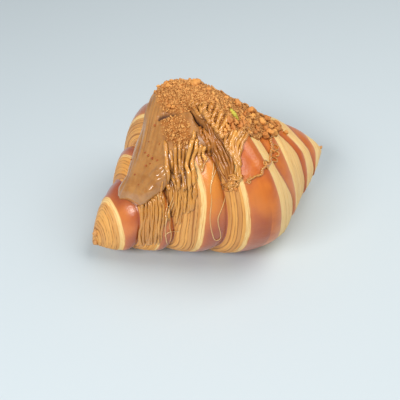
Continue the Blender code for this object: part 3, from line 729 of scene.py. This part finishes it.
def make_pour():
    """The poured caramel, glossy and smooth in front and rough under the crumbs."""
    x = np.linspace(POUR_LINE[0, 0], POUR_LINE[-1, 0], POUR_ROWS)[:, None] * MM
    front, back, _ = pour_at(x)
    across = np.sin(np.linspace(-1, 1, POUR_COLUMNS) * math.pi / 2)[None, :]
    angles = front + (back - front) * (across * POUR_INSIDE + 1) / 2
    lift = pour_lift(x, angles)
    flat = roll_point(x, np.radians(angles), lift)
    crumbed = crumb_share(x, angles)
    coarse = noise_at(flat, 2.0 * MM, 3)
    fine = noise_at(flat, 0.9 * MM, 4)
    across_flow = angles - FLOW_SLOPE * (x / MM + 30)
    flow = np.stack(np.broadcast_arrays(x * 0.12, across_flow * 0.6 * MM, 0 * x), -1)
    flow = noise_at(flow, 1.3 * MM, 5)
    lumps = crumbed * (0.5 * coarse + 0.3 * fine) * MM
    wavy = (1 - crumbed) * WAVE_DEPTH * MM * coarse
    wavy = wavy * np.clip((WAVES_END - angles) / WAVES_FADE, 0, 1)
    streaks = (1 - crumbed) * STREAK_DEPTH * MM * flow
    streaks = streaks * np.clip((angles - STREAKS_START) / STREAKS_FADE, 0, 1)
    edge = 1 - np.abs(across) ** 6
    top = roll_point(x, np.radians(angles), lift + (lumps + (streaks + wavy)) * edge)
    root = roll_point(x, np.radians(angles), relief_at(x, angles) - POUR_ROOT)[:, ::-1]
    count = 2 * POUR_COLUMNS
    faces = grid_faces(POUR_ROWS, count).tolist()
    faces.append(list(range(count))[::-1])
    faces.append([(POUR_ROWS - 1) * count + index for index in range(count)])
    # The values of each attribute on the upper face and on the root.
    slot = slot_share(x, angles)
    shine = np.clip((SHINE_END - x / MM) / SHINE_FADE, DULL_SHINE, 1) + 0 * slot
    streaked = np.clip((angles - DARK_STREAKS_START) / STREAKS_FADE, 0, 1)
    maps = {
        "crumbed": (crumbed, crumbed[:, ::-1]),
        "flow": (flow * streaked, 0 * flow),
        "slot": (slot, 0 * slot),
        "shine": (shine, shine),
    }
    attributes = {key: np.concatenate(pair, axis=1).ravel() for key, pair in maps.items()}
    points = np.concatenate([top, root], axis=1)
    return face_outward(new_object("caramel_pour", points, faces, attributes, pour_material()))


class Ground:
    """The height of everything laid so far above the plain roll, on a grid over x and angle."""

    X = np.arange(-60, 60, 0.25) * MM
    ANGLE = np.arange(-30, 160, 0.4)

    def __init__(self):
        x, angle = np.meshgrid(self.X, self.ANGLE, indexing="ij")
        self.lift = np.maximum(relief_at(x, angle), pour_lift(x, angle))
        self.stranded = np.zeros(self.lift.shape, bool)
        self.degree = (WIDTH + HEIGHT) / 4 * swell(self.X) * math.pi / 180
        self.keep_support()

    def keep_support(self):
        """Remembers the height now, for the strands of one group to lie on."""
        self.support = self.lift.copy()

    def index(self, x, angle):
        row = (np.asarray(x) - self.X[0]) / (self.X[1] - self.X[0])
        column = (np.asarray(angle) - self.ANGLE[0]) / (self.ANGLE[1] - self.ANGLE[0])
        return np.clip(row, 0, len(self.X) - 1.001), np.clip(column, 0, len(self.ANGLE) - 1.001)

    def at(self, x, angle, heights=None):
        """The height at x and angle, between the four grid points around it."""
        heights = self.lift if heights is None else heights
        row, column = self.index(x, angle)
        i, j = row.astype(int), column.astype(int)
        u, v = row - i, column - j
        near = heights[i, j] * (1 - v) + heights[i, j + 1] * v
        far = heights[i + 1, j] * (1 - v) + heights[i + 1, j + 1] * v
        return near * (1 - u) + far * u

    def shade(self, x, angle, lift):
        """1 where a point stands clear of what lies around it, towards 0 where it is sunk; it sets
        how much painted shade the point gets.
        """
        degree = np.interp(x, self.X, self.degree)
        total = np.zeros(np.shape(lift))
        for reach in SHADE_REACHES:
            for turn in np.arange(8) * math.pi / 4:
                beside = angle + reach * math.sin(turn) / degree
                total += self.at(x + reach * math.cos(turn), beside)
        above = total / (8 * len(SHADE_REACHES)) - lift
        return np.clip(1 - above / SHADE_DEPTH, 0, 1)

    def lay(self, x, angle, lift, radius, strand=False):
        """Raises the ground by a round body of this radius whose centre is at lift."""
        row, column = self.index(x, angle)
        degree = float(self.degree[int(row)])
        rows = int(radius / (self.X[1] - self.X[0])) + 1
        columns = int(radius / degree / (self.ANGLE[1] - self.ANGLE[0])) + 1
        i = slice(max(0, int(row) - rows), int(row) + rows + 2)
        j = slice(max(0, int(column) - columns), int(column) + columns + 2)
        away = (self.X[i, None] - x) ** 2 + ((self.ANGLE[None, j] - angle) * degree) ** 2
        top = lift + np.sqrt(np.maximum(radius**2 - away, 0))
        under = away < radius**2
        self.lift[i, j] = np.where(under, np.maximum(self.lift[i, j], top), self.lift[i, j])
        self.stranded[i, j] |= strand & under

    def is_stranded(self, x, angle):
        row, column = self.index(x, angle)
        return self.stranded[int(row), int(column)]


class Heap:
    """Many small shapes gathered into one mesh. Each has its own tint, and each point a crest
    value:
    1 at the top of its shape, less at the foot and where other shapes rise around it, where the
    material paints shade."""

    def __init__(self):
        self.shapes, self.faces, self.count = [], [], 0

    def add(self, points, faces, tint, crest_light, place):
        """place holds the x, angle and lift of each point."""
        place = np.stack(np.broadcast_arrays(*place), axis=-1).reshape(-1, 3)
        self.shapes.append((points, np.full(len(points), tint), crest_light, place))
        self.faces.extend((faces + self.count).tolist())
        self.count += len(points)

    def build(self, name, material, ground):
        points, tints, crest_lights, places = (np.concatenate(values) for values in zip(*self.shapes))
        # Painted shade also where other shapes rise around a point.
        attributes = {"tint": tints, "crest_light": crest_lights * ground.shade(*places.T)}
        return new_object(name, points, self.faces, attributes, material)


def tube(points, radii):
    """Points, quads and crest values of a round strand with pointed ends; the crest values, 1 on
    top and 0 underneath, also paint shade on its sides and underside.
    """
    along = np.gradient(points, axis=0)
    along /= np.linalg.norm(along, axis=1)[:, None]
    outward = points - np.array([0, 0, HEIGHT * BELLY_HEIGHT])
    outward[:, 0] *= 0.3
    sideways = np.cross(along, outward)
    sideways /= np.linalg.norm(sideways, axis=1)[:, None]
    upward = np.cross(sideways, along)
    turn = np.arange(STRAND_SIDES) * 2 * math.pi / STRAND_SIDES
    cosine, sine = np.cos(turn)[None, :, None], np.sin(turn)[None, :, None]
    ring = cosine * sideways[:, None] + sine * upward[:, None]
    body = points[:, None] + radii[:, None, None] * ring
    crest_light = np.tile(0.5 + 0.5 * np.sin(turn), len(points))
    return body.reshape(-1, 3), grid_faces(len(points), STRAND_SIDES)[:, ::-1], crest_light


def bridged(lift, reach):
    """A route's support without its narrow dips, which a strand spans."""
    padded = np.pad(lift, reach, mode="edge")
    windows = np.lib.stride_tricks.sliding_window_view(padded, 2 * reach + 1)
    return np.maximum(lift, windows.mean(axis=1))


def add_strand(heap, ground, draw, route, radius, look=PLAIN_LOOK, sideways=0.0, swing=0.0):
    """One strand along a route, moved sideways and swinging about it. Its look is its rise, how
    far its centre lies above its support as a share of its radius, and its range of tints."""
    rise, tints = look
    route = smooth_route(route, STRAND_STATIONS)
    at = np.linspace(0, 1, STRAND_STATIONS)
    phase = draw.uniform(0, 6.3)
    slow = np.sin(at * draw.uniform(4, 9) + phase)
    sway = swing * (slow + 0.5 * np.sin(at * draw.uniform(12, 20) + phase))
    degree = np.interp(route[:, 0] * MM, ground.X, ground.degree)
    heading = np.gradient(route[:, 0]) * MM, np.gradient(route[:, 1]) * degree
    heading = np.stack(heading, axis=-1)
    heading /= np.linalg.norm(heading, axis=1)[:, None]
    x = route[:, 0] * MM - (sideways + sway) * heading[:, 1]
    angles = route[:, 1] + (sideways + sway) * heading[:, 0] / degree
    lumps = 0.13 * np.sin(at * draw.uniform(7, 20) + phase)
    thick = radius * (1 + lumps + 0.05 * np.sin(at * 41 + phase))
    thick *= np.minimum(1, np.minimum(at, 1 - at) * 12 + 0.2)
    lift = bridged(ground.at(x, angles, ground.support), 4) + thick * rise
    for k in range(STRAND_STATIONS):
        ground.lay(x[k], angles[k], lift[k], thick[k], strand=at[k] > CRUMBED_START)
    body, faces, crest_light = tube(roll_point(x, np.radians(angles), lift), thick)
    height = lift[:, None] + thick[:, None] * (2 * crest_light.reshape(len(lift), -1) - 1)
    heap.add(body, faces, draw.uniform(*tints), crest_light, (x[:, None], angles[:, None], height))


def make_drizzle(ground):
    """The strands of caramel, each lying on those before it."""
    draw = random.Random(SEED)
    heap = Heap()
    for rises, tints, strands in STRAND_GROUPS:
        ground.keep_support()
        for radius, count, *route in strands:
            for index in range(count):
                side = (index + 1) // 2 * (1 if index % 2 else -1) * COMPANION_GAP
                sideways = side * radius * MM * draw.uniform(0.9, 1.5)
                last = len(route[0]) - (draw.choice((0, 0, 1)) if index else 0)
                thick = radius * MM * draw.uniform(0.78, 1.15)
                look = draw.uniform(*rises), tints
                cut = [row[:last] for row in route]
                add_strand(heap, ground, draw, cut, thick, look, sideways, STRAND_SWING)
    for start in (0, math.pi):
        add_twist(heap, ground, start, draw)
    ground.keep_support()
    for route in THREAD_CURLS:
        add_strand(heap, ground, draw, route, CURL_RADIUS)
    for x, angle, reach, count in TANGLES:
        for _ in range(count):
            start, turn = draw.uniform(0, 6.3), draw.choice((-1, 1)) * draw.uniform(0.8, 1.6)
            middle = x + draw.gauss(0, 0.4) * reach, angle + draw.gauss(0, 0.6) * reach
            bend = reach * draw.uniform(0.25, 0.9)
            turns = [start + turn * k for k in range(4)]
            along = [middle[0] + bend * math.cos(turn) for turn in turns]
            around = [middle[1] + 1.4 * bend * math.sin(turn) for turn in turns]
            radius, look = draw.uniform(*TANGLE_RADIUS), (draw.uniform(*TANGLE_RISES), TANGLE_TINTS)
            add_strand(heap, ground, draw, (along, around), radius, look)
    return heap.build("drizzle", caramel_material("drizzle", DRIZZLE_COLOURS), ground)


def add_twist(heap, ground, start, draw):
    """One of the strands that wind round each other in the lumpy thread."""
    x, angles = smooth_route(THREAD, TWIST_STATIONS).T
    at = np.linspace(0, 1, TWIST_STATIONS)
    turn = start + at * 2 * math.pi * TWIST_TURNS
    x = x * MM + 0.5 * MM * np.cos(turn)
    lift = bridged(ground.at(x, angles), 8) + THREAD_RADIUS * 0.8 + 0.3 * MM * np.sin(turn)
    thick = THREAD_RADIUS * (0.85 + 0.4 * np.sin(at * 70 + start) * np.sin(at * 23))
    thick *= np.minimum(1, np.minimum(at, 1 - at) * 20 + 0.2)
    body, faces, crest_light = tube(roll_point(x, np.radians(angles), lift), thick)
    height = np.repeat((lift + thick)[:, None], STRAND_SIDES, axis=1)
    heap.add(body, faces, draw.random(), crest_light, (x[:, None], angles[:, None], height))


def make_fine_threads(ground):
    draw = random.Random(SEED + 1)
    heap = Heap()
    ground.keep_support()
    for route in FINE_THREADS:
        add_strand(heap, ground, draw, route, FINE_RADIUS, swing=FINE_SWING)
    return heap.build("fine_threads", caramel_material("fine_threads", THREAD_COLOURS), ground)


# --- Crumbs ---


def grain_shapes(grains, draw):
    """Rough round shapes of radius 1, as (points, triangles)."""
    shapes = []
    for _ in range(grains.shapes):
        mesh = bmesh.new()
        bmesh.ops.create_icosphere(mesh, subdivisions=grains.subdivisions, radius=1)
        points = np.array([vert.co for vert in mesh.verts])
        faces = np.array([[vert.index for vert in face.verts] for face in mesh.faces])
        mesh.free()
        seed = draw.uniform(0, 50)
        large, small = noise_at(points, 0.9, seed), noise_at(points, 0.4, seed)
        swelling = 1 + grains.roughness * large + 0.5 * grains.roughness * small
        stretch = np.array([draw.uniform(0.6, 1.3) for _ in range(3)])
        shapes.append((points * swelling[:, None] * stretch, faces))
    return shapes


def turned(draw):
    axis = Vector((draw.gauss(0, 1), draw.gauss(0, 1), draw.gauss(0, 1)))
    return np.array(Matrix.Rotation(draw.uniform(0, 6.3), 3, axis))


def add_grain(heap, ground, shapes, x, angle, radius, sink, draw, bare=False, clear=False):
    """One grain lying on what is under it, sunk by a share of its radius.

    A clear one stays free of crumbs, and a bare one also has none around it.
    """
    points, faces = draw.choice(shapes)
    support = ground.at(x, angle, ground.support if bare else None)
    lift = float(support) + radius * (0.7 - sink)
    centre = roll_point(x, math.radians(angle), lift).reshape(3)
    outward = roll_point(x, math.radians(angle), lift + radius).reshape(3) - centre
    ground.lay(x, angle, lift, radius * 0.8, strand=clear)
    if bare:
        ground.lay(x, angle, lift - radius, radius * 1.6, strand=True)
    placed = points @ turned(draw).T * radius
    rise = placed @ outward / radius
    # Painted shade on the underside of each grain; its top keeps the full colour.
    crest_light = np.clip(0.5 + 0.5 * rise / radius, 0, 1)
    heap.add(placed + centre, faces, draw.random(), crest_light, (x, angle, lift + rise))


def crumb_place(ground, draw):
    """A random place on the crumb bed, denser where its share is high."""
    while True:
        x = draw.uniform(*CRUMBS_X) * MM
        angle = draw.uniform(*CRUMBS_ANGLE)
        front, back, _ = pour_at(np.array(x))
        if angle > back or angle < front - 1:
            continue
        share = crumb_share(np.array(x), np.array(angle))
        if angle > REAR_START:
            share = share * REAR_CRUMBS
        if ground.is_stranded(x, angle):
            share = min(share, STRAND_CRUMBS)
        if draw.random() < share:
            return x, angle


def make_grains(name, ground, places, **free):
    """Grains at given places: (mm along X, angle, radius in mm)."""
    grains = GRAINS[name]
    draw = random.Random(SEED + grains.seed)
    heap, shapes = Heap(), grain_shapes(grains, draw)
    ground.keep_support()
    for x, angle, radius in places:
        add_grain(heap, ground, shapes, x * MM, angle, radius * MM, grains.sink, draw, **free)
    return heap.build(name, crumb_material(name, grains.colours), ground)


def make_crumbs(name, ground, count, sizes):
    """Grains scattered over the crumb bed, most of them small."""
    grains = GRAINS[name]
    draw = random.Random(SEED + grains.seed)
    heap, shapes = Heap(), grain_shapes(grains, draw)
    for _ in range(count):
        x, angle = crumb_place(ground, draw)
        radius = sizes[0] + (sizes[1] - sizes[0]) * draw.random() ** 2
        add_grain(heap, ground, shapes, x, angle, radius, draw.uniform(*grains.sink), draw)
    return heap.build(name, crumb_material(name, grains.colours), ground)


# --- Materials ---


# A darker skin tone for the streaks, also the colour of painted shade towards the creases and on
# the left side turned from the light.
SKIN_DARK_AND_SHADE = (0.36, 0.060, 0.016)
SKIN_RED = (0.55, 0.115, 0.020)
SKIN_ORANGE = (0.72, 0.198, 0.025)
# The skin's warmer orange: partly its own tone, partly painted light on its upper side.
SKIN_WARM_AND_LIT = (0.86, 0.31, 0.035)
BAND_PALE = (1.0, 0.69, 0.28)
LAYER_GOLD = (0.82, 0.325, 0.034)
LAYER_BROWN = (0.60, 0.21, 0.030)
# Painted shade in the gaps between cut layers.
GAP_SHADE = (0.36, 0.115, 0.016)
CARAMEL = (0.54, 0.245, 0.064)
CARAMEL_DARK = (0.40, 0.155, 0.030)
# Painted shade in the grooves of the flow streaks.
CARAMEL_STREAK_SHADE = (0.34, 0.13, 0.03)
# Painted shade in the slot and the crease.
SLOT_SHADE = (0.075, 0.022, 0.008)
# A darker crumb tone on the bed, also the colour of painted shade at the foot of grains and knobs.
BED_DARK_AND_SHADE = (0.38, 0.13, 0.024)
# Painted shade at the foot and sides of the strands.
STRAND_SHADE = (0.22, 0.075, 0.014)
DRIZZLE_COLOURS = ((0.44, 0.150, 0.018), (0.92, 0.45, 0.090))
THREAD_COLOURS = ((0.74, 0.42, 0.14), (0.84, 0.52, 0.22))
CRUMB_COLOURS = ((0.46, 0.16, 0.03), (0.92, 0.50, 0.15))
COARSE_COLOURS = ((0.46, 0.15, 0.026), (0.92, 0.47, 0.13))
LUMP_COLOURS = ((0.54, 0.17, 0.030), (0.92, 0.43, 0.10))
SPECK_COLOURS = ((0.30, 0.06, 0.012), (0.48, 0.12, 0.02))
KNOB_COLOURS = ((0.44, 0.18, 0.05), (0.72, 0.36, 0.12))
GREEN_COLOURS = ((0.44, 0.40, 0.03), (0.70, 0.62, 0.08))
NOISE_ROUGHNESS = 0.55

# The grains of each piece: the seed of their draws, the subdivisions, roughness and number of
# their shapes, how far they sink as a share of their radius, and their darkest and palest colour.
Grains = namedtuple("Grains", "seed subdivisions roughness shapes sink colours")
GRAINS = {
    "tip_knobs": Grains(6, 3, 0.35, 3, 0.5, KNOB_COLOURS),
    "crumb_lumps": Grains(9, 3, 0.78, 10, 0.12, LUMP_COLOURS),
    "biscuit_specks": Grains(5, 2, 0.5, 5, 0.5, SPECK_COLOURS),
    "green_fleck": Grains(4, 3, 0.35, 2, 0.5, GREEN_COLOURS),
    "crumbs_coarse": Grains(3, 2, 0.5, 14, (0.3, 0.85), COARSE_COLOURS),
    "crumbs_fine": Grains(2, 1, 0.5, 14, (0.3, 1.0), CRUMB_COLOURS),
}


class Value:
    """A value in a shader, which gives a new one when it is multiplied, added to or taken off."""

    def __init__(self, nodes, socket):
        self.nodes, self.socket = nodes, socket

    def __mul__(self, other):
        return self.nodes.math("MULTIPLY", self, other)

    def __add__(self, other):
        return self.nodes.math("ADD", self, other)

    def __sub__(self, other):
        return self.nodes.math("SUBTRACT", self, other)

    def __rsub__(self, other):
        return self.nodes.math("SUBTRACT", other, self)


class Nodes:
    """The nodes of one material."""

    def __init__(self, name):
        self.material = bpy.data.materials.new(name)
        self.material.use_nodes = True
        self.tree = self.material.node_tree

    def feed(self, node, inputs):
        """Links each input to its value, or sets it where that is a plain number or colour."""
        for key, value in inputs.items():
            if isinstance(value, Value):
                self.tree.links.new(value.socket, node.inputs[key])
            else:
                node.inputs[key].default_value = value

    def shade(self, inputs):
        self.feed(self.tree.nodes["Principled BSDF"], inputs)

    def node(self, kind, inputs, output=0, **settings):
        """The output of a new node."""
        node = self.tree.nodes.new(kind)
        for key, value in settings.items():
            setattr(node, key, value)
        self.feed(node, inputs)
        return Value(self, node.outputs[output])

    def attribute(self, name, output="Fac"):
        return self.node("ShaderNodeAttribute", {}, output, attribute_name=name)

    def math(self, operation, first, second, **settings):
        inputs = {0: first, 1: second}
        return self.node("ShaderNodeMath", inputs, operation=operation, **settings)

    def ramp(self, value, low, high):
        """0 below low, 1 above high and smooth between."""
        inputs = {"Value": value, "From Min": low, "From Max": high}
        return self.node("ShaderNodeMapRange", inputs, interpolation_type="SMOOTHSTEP")

    def mix(self, share, first, second):
        colours = [(*c, 1.0) if isinstance(c, tuple) else c for c in (first, second)]
        inputs = {"Factor": share, 6: colours[0], 7: colours[1]}
        return self.node("ShaderNodeMix", inputs, 2, data_type="RGBA")

    def noise(self, scale, detail=3.0, vector=None):
        vector = vector or self.node("ShaderNodeTexCoord", {}, "Object")
        inputs = {"Vector": vector, "Scale": scale, "Detail": detail, "Roughness": NOISE_ROUGHNESS}
        return self.node("ShaderNodeTexNoise", inputs, "Fac")

    def stretched_noise(self, vector, factors, detail):
        inputs = {0: vector, 1: factors}
        vector = self.node("ShaderNodeVectorMath", inputs, operation="MULTIPLY")
        return self.noise(1.0, detail, vector)

    def bump(self, height, distance, strength):
        inputs = {"Height": height, "Distance": distance, "Strength": strength}
        return self.node("ShaderNodeBump", inputs, "Normal")


def pastry_material():
    nodes = Nodes("pastry")
    ramp, mix, attribute = nodes.ramp, nodes.mix, nodes.attribute
    place, past_rim = attribute("place", "Vector"), attribute("past_rim")
    chance, toast = attribute("chance"), attribute("toast")

    patches = nodes.noise(55.0)
    streaks = nodes.stretched_noise(place, (0.9, 0.05, 1.0), 3.0)
    skin = mix(ramp(patches, 0.35, 0.65), SKIN_RED, SKIN_ORANGE)
    # Partly the skin's own orange, partly painted light: warmer and brighter on the upper side,
    # most on the middle skin.
    skin = mix(attribute("warmth"), skin, SKIN_WARM_AND_LIT)
    skin = mix(ramp(streaks, 0.45, 0.8) * 0.10, skin, SKIN_DARK_AND_SHADE)
    # Painted shade: on the left the skin darkens on the sides turned from the light.
    skin = mix(attribute("left_shade") * 0.7, skin, SKIN_DARK_AND_SHADE)
    skin = mix(ramp(past_rim, -2.2, -0.1) * 0.35, skin, SKIN_ORANGE)
    # Painted shade: the skin darkens towards each crease.
    skin = mix(ramp(attribute("from_crease"), 0.28, 0.0) * 0.55, skin, SKIN_DARK_AND_SHADE)

    flecks = nodes.stretched_noise(place, (1.6, 0.16, 1.0), 4.0)
    flakes = nodes.stretched_noise(place, (3.6, 0.05, 1.0), 2.0)
    layered = mix(ramp(chance, 0.3, 0.95), LAYER_GOLD, LAYER_BROWN)
    cut = mix(ramp(flecks, 0.4, 0.75) * 0.4, BAND_PALE, LAYER_GOLD)
    cut = mix(ramp(chance, 0.0, 0.05) * toast, cut, layered)
    cut = mix(ramp(flakes, 0.48, 0.7) * toast, cut, LAYER_BROWN)
    # Painted shade in the gaps between cut layers.
    cut = mix(ramp(attribute("gap"), 0.1, 0.6) * 0.9, cut, GAP_SHADE)

    ragged = past_rim + (flecks - 0.5) * 1.2
    bump = nodes.bump(nodes.noise(170.0) * 0.7 + nodes.noise(900.0) * 0.3, 0.0006, 0.6)
    glaze = (ramp(past_rim, 0.2, -0.3) * 0.85 + 0.15) * attribute("gloss")
    nodes.shade({
        "Base Color": mix(ramp(ragged, -0.15, 0.35), skin, cut),
        "Roughness": ramp(past_rim, -0.3, 0.3) * 0.26 + 0.34,
        "Normal": bump,
        "Coat Normal": bump,
        "Coat Weight": glaze * 0.9,
        "Coat Roughness": 0.34,
        "Subsurface Weight": 0.08,
        "Subsurface Radius": (0.004, 0.002, 0.001),
        "Subsurface Scale": 0.5,
    })
    return nodes.material


def pour_material():
    nodes = Nodes("caramel_pour")
    ramp, mix, attribute = nodes.ramp, nodes.mix, nodes.attribute
    crumbed, slot = attribute("crumbed"), attribute("slot")
    fine = nodes.noise(700.0, 4.0)
    caramel = mix(ramp(nodes.noise(120.0, 4.0), 0.38, 0.7), CARAMEL, CARAMEL_DARK)
    # Painted shade in the grooves of the flow streaks.
    caramel = mix(ramp(attribute("flow"), -0.1, -0.5) * 0.6, caramel, CARAMEL_STREAK_SHADE)
    bed = mix(ramp(fine, 0.35, 0.65), BED_DARK_AND_SHADE, CRUMB_COLOURS[0])
    open_air = ramp(slot, 0.6, 0.05) * attribute("shine")
    sheltered = (1.0 - open_air) * 0.5
    nodes.shade({
        # Painted shade in the slot and the crease.
        "Base Color": mix(ramp(slot, 0.22, 0.9), mix(crumbed, caramel, bed), SLOT_SHADE),
        "Roughness": nodes.math("ADD", sheltered, crumbed * 0.45 + 0.2, use_clamp=True),
        "Normal": nodes.bump(fine, 0.0004, 0.35),
        "Coat Weight": open_air * ramp(crumbed, 0.5, 0.0) * 0.85,
        "Coat Roughness": 0.15,
        "Subsurface Weight": 0.12,
        "Subsurface Radius": (0.004, 0.002, 0.0006),
        "Subsurface Scale": 0.5,
    })
    return nodes.material


def heap_material(name, colours, shade, rough, spread, detail):
    """A material whose colour follows each shape's tint, with painted shade towards its foot and
    where it is sunk.
    """
    nodes = Nodes(name)
    grain = nodes.noise(detail)
    lit = nodes.mix(nodes.attribute("tint") * 0.7 + grain * 0.35, *colours)
    # Painted shade: the shade colour takes over where the crest value is low.
    crest_light = nodes.ramp(nodes.attribute("crest_light"), *spread)
    nodes.shade({
        "Base Color": nodes.mix(crest_light, shade, lit),
        "Roughness": grain * 0.2 + rough,
        "Normal": nodes.bump(grain, 0.0004, 0.3),
    })
    return nodes


def caramel_material(name, colours):
    nodes = heap_material(name, colours, STRAND_SHADE, 0.25, (0.12, 0.85), 420.0)
    glaze = nodes.ramp(nodes.attribute("tint"), -0.15, 0.25) * 0.55 + 0.25
    nodes.shade({"Coat Weight": glaze, "Coat Roughness": 0.12})
    return nodes.material


def crumb_material(name, colours):
    return heap_material(name, colours, BED_DARK_AND_SHADE, 0.5, (0.1, 0.7), 900.0).material


# --- Stage ---


CAMERA_AZIMUTH = math.radians(-22.24)
CAMERA_ELEVATION = math.radians(45.0)
CAMERA_DISTANCE = 0.3932
CAMERA_TARGET = Vector((-0.00105, 0.0135, 0.0))
LENS = 60
LAMP_TARGET = Vector((0, 0, 0.03))
FLOOR_SIZE = 4.0


def make_floor():
    data = bpy.data.meshes.new("floor")
    half = FLOOR_SIZE / 2
    corners = [(-half, -half, 0), (half, -half, 0), (half, half, 0), (-half, half, 0)]
    data.from_pydata(corners, [], [(0, 1, 2, 3)])
    nodes = Nodes("floor")
    nodes.shade({"Base Color": (0.60, 0.68, 0.73, 1), "Roughness": 0.6})
    data.materials.append(nodes.material)
    add_object("floor", data)


def make_lamp(name, place, size, power, colour):
    data = bpy.data.lights.new(name, "AREA")
    data.shape = "RECTANGLE"
    data.size, data.size_y = size
    data.energy = power
    data.color = colour
    lamp = add_object(name, data)
    lamp.location = place
    lamp.rotation_euler = (LAMP_TARGET - Vector(place)).to_track_quat("-Z", "Y").to_euler()


def make_lights():
    make_lamp("key", (0.34, -0.10, 0.70), (0.55, 0.55), 4.0, (1.0, 0.97, 0.92))
    make_lamp("softbox", (-0.51, -0.30, 0.56), (0.40, 0.18), 4.1, (1.0, 0.99, 0.97))
    world = bpy.data.worlds.new("studio")
    world.use_nodes = True
    background = world.node_tree.nodes["Background"]
    background.inputs["Color"].default_value = (0.93, 0.97, 1.0, 1)
    background.inputs["Strength"].default_value = 0.28
    bpy.context.scene.world = world
    bpy.context.scene.view_settings.view_transform = "Standard"


def make_camera():
    flat = math.cos(CAMERA_ELEVATION)
    across, forward = math.sin(CAMERA_AZIMUTH) * flat, -math.cos(CAMERA_AZIMUTH) * flat
    back = Vector((across, forward, math.sin(CAMERA_ELEVATION)))
    data = bpy.data.cameras.new("camera")
    data.lens = LENS
    data.sensor_width = 36
    data.clip_start = 0.01
    camera = add_object("camera", data)
    camera.location = CAMERA_TARGET + back * CAMERA_DISTANCE
    camera.rotation_euler = (-back).to_track_quat("-Z", "Y").to_euler()
    bpy.context.scene.camera = camera


def main():
    make_camera()
    make_lights()
    make_floor()
    ground = Ground()
    pastry_pieces = (
        make_pastry(),
        make_grains("tip_knobs", ground, TIP_KNOBS),
    )
    for piece in pastry_pieces:
        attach(piece, "root")
        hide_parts("croissant")
    toppings = (
        make_pour(),
        make_drizzle(ground),
        make_fine_threads(ground),
        make_grains("crumb_lumps", ground, LARGE_LUMPS, clear=True),
        make_grains("biscuit_specks", ground, SPECKS),
        make_grains("green_fleck", ground, GREEN_FLECK, bare=True),
        make_crumbs("crumbs_coarse", ground, 860, (0.4 * MM, 1.05 * MM)),
        make_crumbs("crumbs_fine", ground, 9000, (0.2 * MM, 0.48 * MM)),
    )
    for topping in toppings:
        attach(topping, "root")
        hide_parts("caramel_topping")


main()
